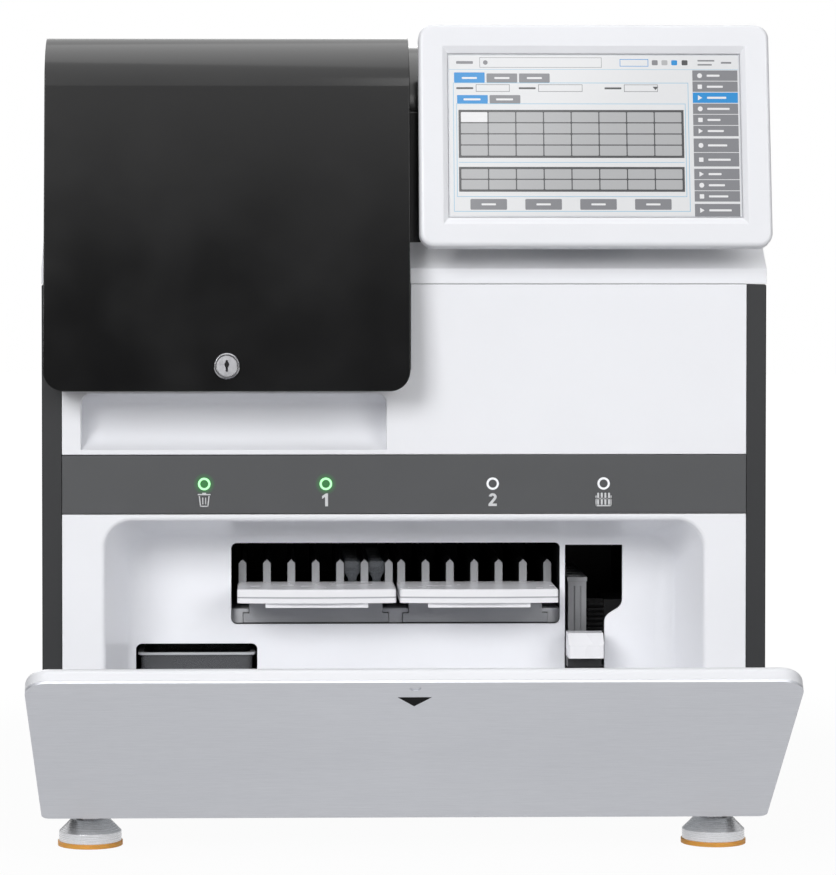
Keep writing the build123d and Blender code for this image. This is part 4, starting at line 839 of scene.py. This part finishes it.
def stage_look():
    """A pale floor that keeps the shadows near the part and runs out to plain white."""
    look = Look("studio_floor")
    look.set(Base_Color=(0.36, 0.36, 0.365, 1), Roughness=0.9, Specular_IOR_Level=0.1)
    white = look.nodes.new("ShaderNodeEmission")
    white.inputs["Color"].default_value = (1, 1, 1, 1)
    white.inputs["Strength"].default_value = 1.06
    plainness = look.between(look.distance_to((0, 0, 0)), 0.9, 1.0, shadows_fade, shadows_end)
    share = look.math("MULTIPLY", studio_rays(look.nodes, look.links), plainness)
    mix = look.nodes.new("ShaderNodeMixShader")
    look.links.new(share, mix.inputs["Fac"])
    look.links.new(look.shader.outputs[0], mix.inputs[1])
    look.links.new(white.outputs[0], mix.inputs[2])
    look.links.new(mix.outputs[0], look.nodes["Material Output"].inputs["Surface"])
    return look.material


def studio_rays(nodes, links):
    """One for camera, glossy and transmission rays, and nought for the rest."""
    path = nodes.new("ShaderNodeLightPath")
    total = None
    for name in ("Is Camera Ray", "Is Glossy Ray", "Is Transmission Ray"):
        if total is None:
            total = path.outputs[name]
            continue
        add = nodes.new("ShaderNodeMath")
        add.operation = "MAXIMUM"
        links.new(total, add.inputs[0])
        links.new(path.outputs[name], add.inputs[1])
        total = add.outputs[0]
    return total


bpy.ops.mesh.primitive_plane_add(size=24, location=(0, 0, 0))
floor = bpy.context.object
floor.name = "floor"
floor.data.materials.append(stage_look())

world = bpy.data.worlds.new("studio")
bpy.context.scene.world = world
world.use_nodes = True
world_nodes = world.node_tree.nodes
world_links = world.node_tree.links
ambient = world_nodes["Background"]
ambient.inputs["Color"].default_value = (1, 1, 1, 1)
ambient.inputs["Strength"].default_value = 0.16
backdrop = world_nodes.new("ShaderNodeBackground")
backdrop.inputs["Color"].default_value = (1, 1, 1, 1)
backdrop.inputs["Strength"].default_value = 1.0


def reflected_studio():
    """What gloss reflects: a dim horizon, dark above it and to the sides, then brighter with height."""
    direction = world_nodes.new("ShaderNodeTexCoord").outputs["Generated"]
    split = world_nodes.new("ShaderNodeSeparateXYZ")
    world_links.new(direction, split.inputs["Vector"])
    blend = world_nodes.new("ShaderNodeValToRGB")
    world_links.new(split.outputs["Z"], blend.inputs["Fac"])
    stops = (
        (0, 0.4), (5, 0.4), (9, 0.02), (12.4, 0.18), (14.2, 0.85),
        (15.5, 1.2), (33, 1.5), (57, 1.9), (85, 2.7),
    )
    brightest = stops[-1][1]
    dark_from = 0.45
    dark_at = 0.8
    side_share = 0.12
    marks = blend.color_ramp.elements
    for elevation, _ in stops[len(marks):]:
        marks.new(sin(radians(elevation)))
    for mark, (elevation, brightness) in zip(marks, stops):
        mark.position = sin(radians(elevation))
        mark.color = (brightness / brightest,) * 3 + (1,)
    aside = world_nodes.new("ShaderNodeMath")
    aside.operation = "ABSOLUTE"
    world_links.new(split.outputs["X"], aside.inputs[0])
    sides = world_nodes.new("ShaderNodeMapRange")
    sides.inputs["From Min"].default_value = dark_from
    sides.inputs["From Max"].default_value = dark_at
    sides.inputs["To Min"].default_value = brightest
    sides.inputs["To Max"].default_value = side_share * brightest
    world_links.new(aside.outputs[0], sides.inputs["Value"])
    shade = world_nodes.new("ShaderNodeBackground")
    world_links.new(blend.outputs["Color"], shade.inputs["Color"])
    world_links.new(sides.outputs["Result"], shade.inputs["Strength"])
    return shade.outputs[0]


choice = world_nodes.new("ShaderNodeMixShader")
world_links.new(studio_rays(world_nodes, world_links), choice.inputs["Fac"])
world_links.new(ambient.outputs[0], choice.inputs[1])
world_links.new(backdrop.outputs[0], choice.inputs[2])
in_gloss = world_nodes.new("ShaderNodeMixShader")
world_links.new(world_nodes.new("ShaderNodeLightPath").outputs["Is Glossy Ray"], in_gloss.inputs["Fac"])
world_links.new(choice.outputs[0], in_gloss.inputs[1])
world_links.new(reflected_studio(), in_gloss.inputs[2])
world_links.new(in_gloss.outputs[0], world_nodes["World Output"].inputs["Surface"])


def lamp(name, spot, target, size, power):
    """A square soft light aimed at a place."""
    data = bpy.data.lights.new(name, "AREA")
    data.shape = "SQUARE"
    data.size = size
    data.energy = power
    made = bpy.data.objects.new(name, data)
    made.location = spot
    made.rotation_euler = (Vector(target) - Vector(spot)).to_track_quat("-Z", "Y").to_euler()
    bpy.context.scene.collection.objects.link(made)
    return made


centre = (0, 0, 0.3)
lamp("key", (-1.6, -3.1, 1.7), centre, 1.5, 76)
lamp("fill", (1.9, -3.0, 1.4), centre, 1.8, 44)
lamp("top", (0.2, -0.2, 2.6), centre, 2.2, 12)
lamp("rear", (-0.6, 3.0, 1.8), centre, 2.0, 24)


def card():
    """A bright card with a slanted edge, seen only in reflections, for the wedge on the glass."""
    shape = bmesh.new()
    depth = front - 3.4
    corners = ((0.16, 1.6), (0.955, 2.6), (0.16, 2.6))
    shape.faces.new([shape.verts.new((x, depth, z)) for x, z in corners])
    mesh = bpy.data.meshes.new("card")
    shape.to_mesh(mesh)
    shape.free()
    made = bpy.data.objects.new("card", mesh)
    bright = Look("card")
    bright.set(Base_Color=(0, 0, 0, 1), Emission_Color=(1, 1, 1, 1), Emission_Strength=4.0)
    mesh.materials.append(bright.material)
    bpy.context.scene.collection.objects.link(made)
    made.visible_camera = False
    made.visible_diffuse = False
    made.visible_shadow = False
    made.visible_transmission = False


card()


# Camera at the photograph's place, looking half the way to the middle of its frame

picture_width = 836
picture_height = 875
focal = 3370
level_point = (270, 273)
sensor = 36
camera_spot = Vector((-104 * mm, front - 2599 * mm, 449 * mm))
off_right = atan((picture_width / 2 - level_point[0]) / focal)
off_down = atan((picture_height / 2 - level_point[1]) / focal)
turned = 0.5

camera_data = bpy.data.cameras.new("camera")
camera_data.sensor_width = sensor
camera_data.lens = focal * sensor / picture_height
camera_data.shift_x = tan(off_right * (1 - turned)) * focal / picture_height
camera_data.shift_y = -tan(off_down * (1 - turned)) * focal / picture_height
camera = bpy.data.objects.new("camera", camera_data)
camera.location = camera_spot
camera.rotation_euler = (radians(90) - off_down * turned, 0, -off_right * turned)
bpy.context.scene.collection.objects.link(camera)
bpy.context.scene.camera = camera

bpy.context.scene.view_settings.view_transform = "Standard"
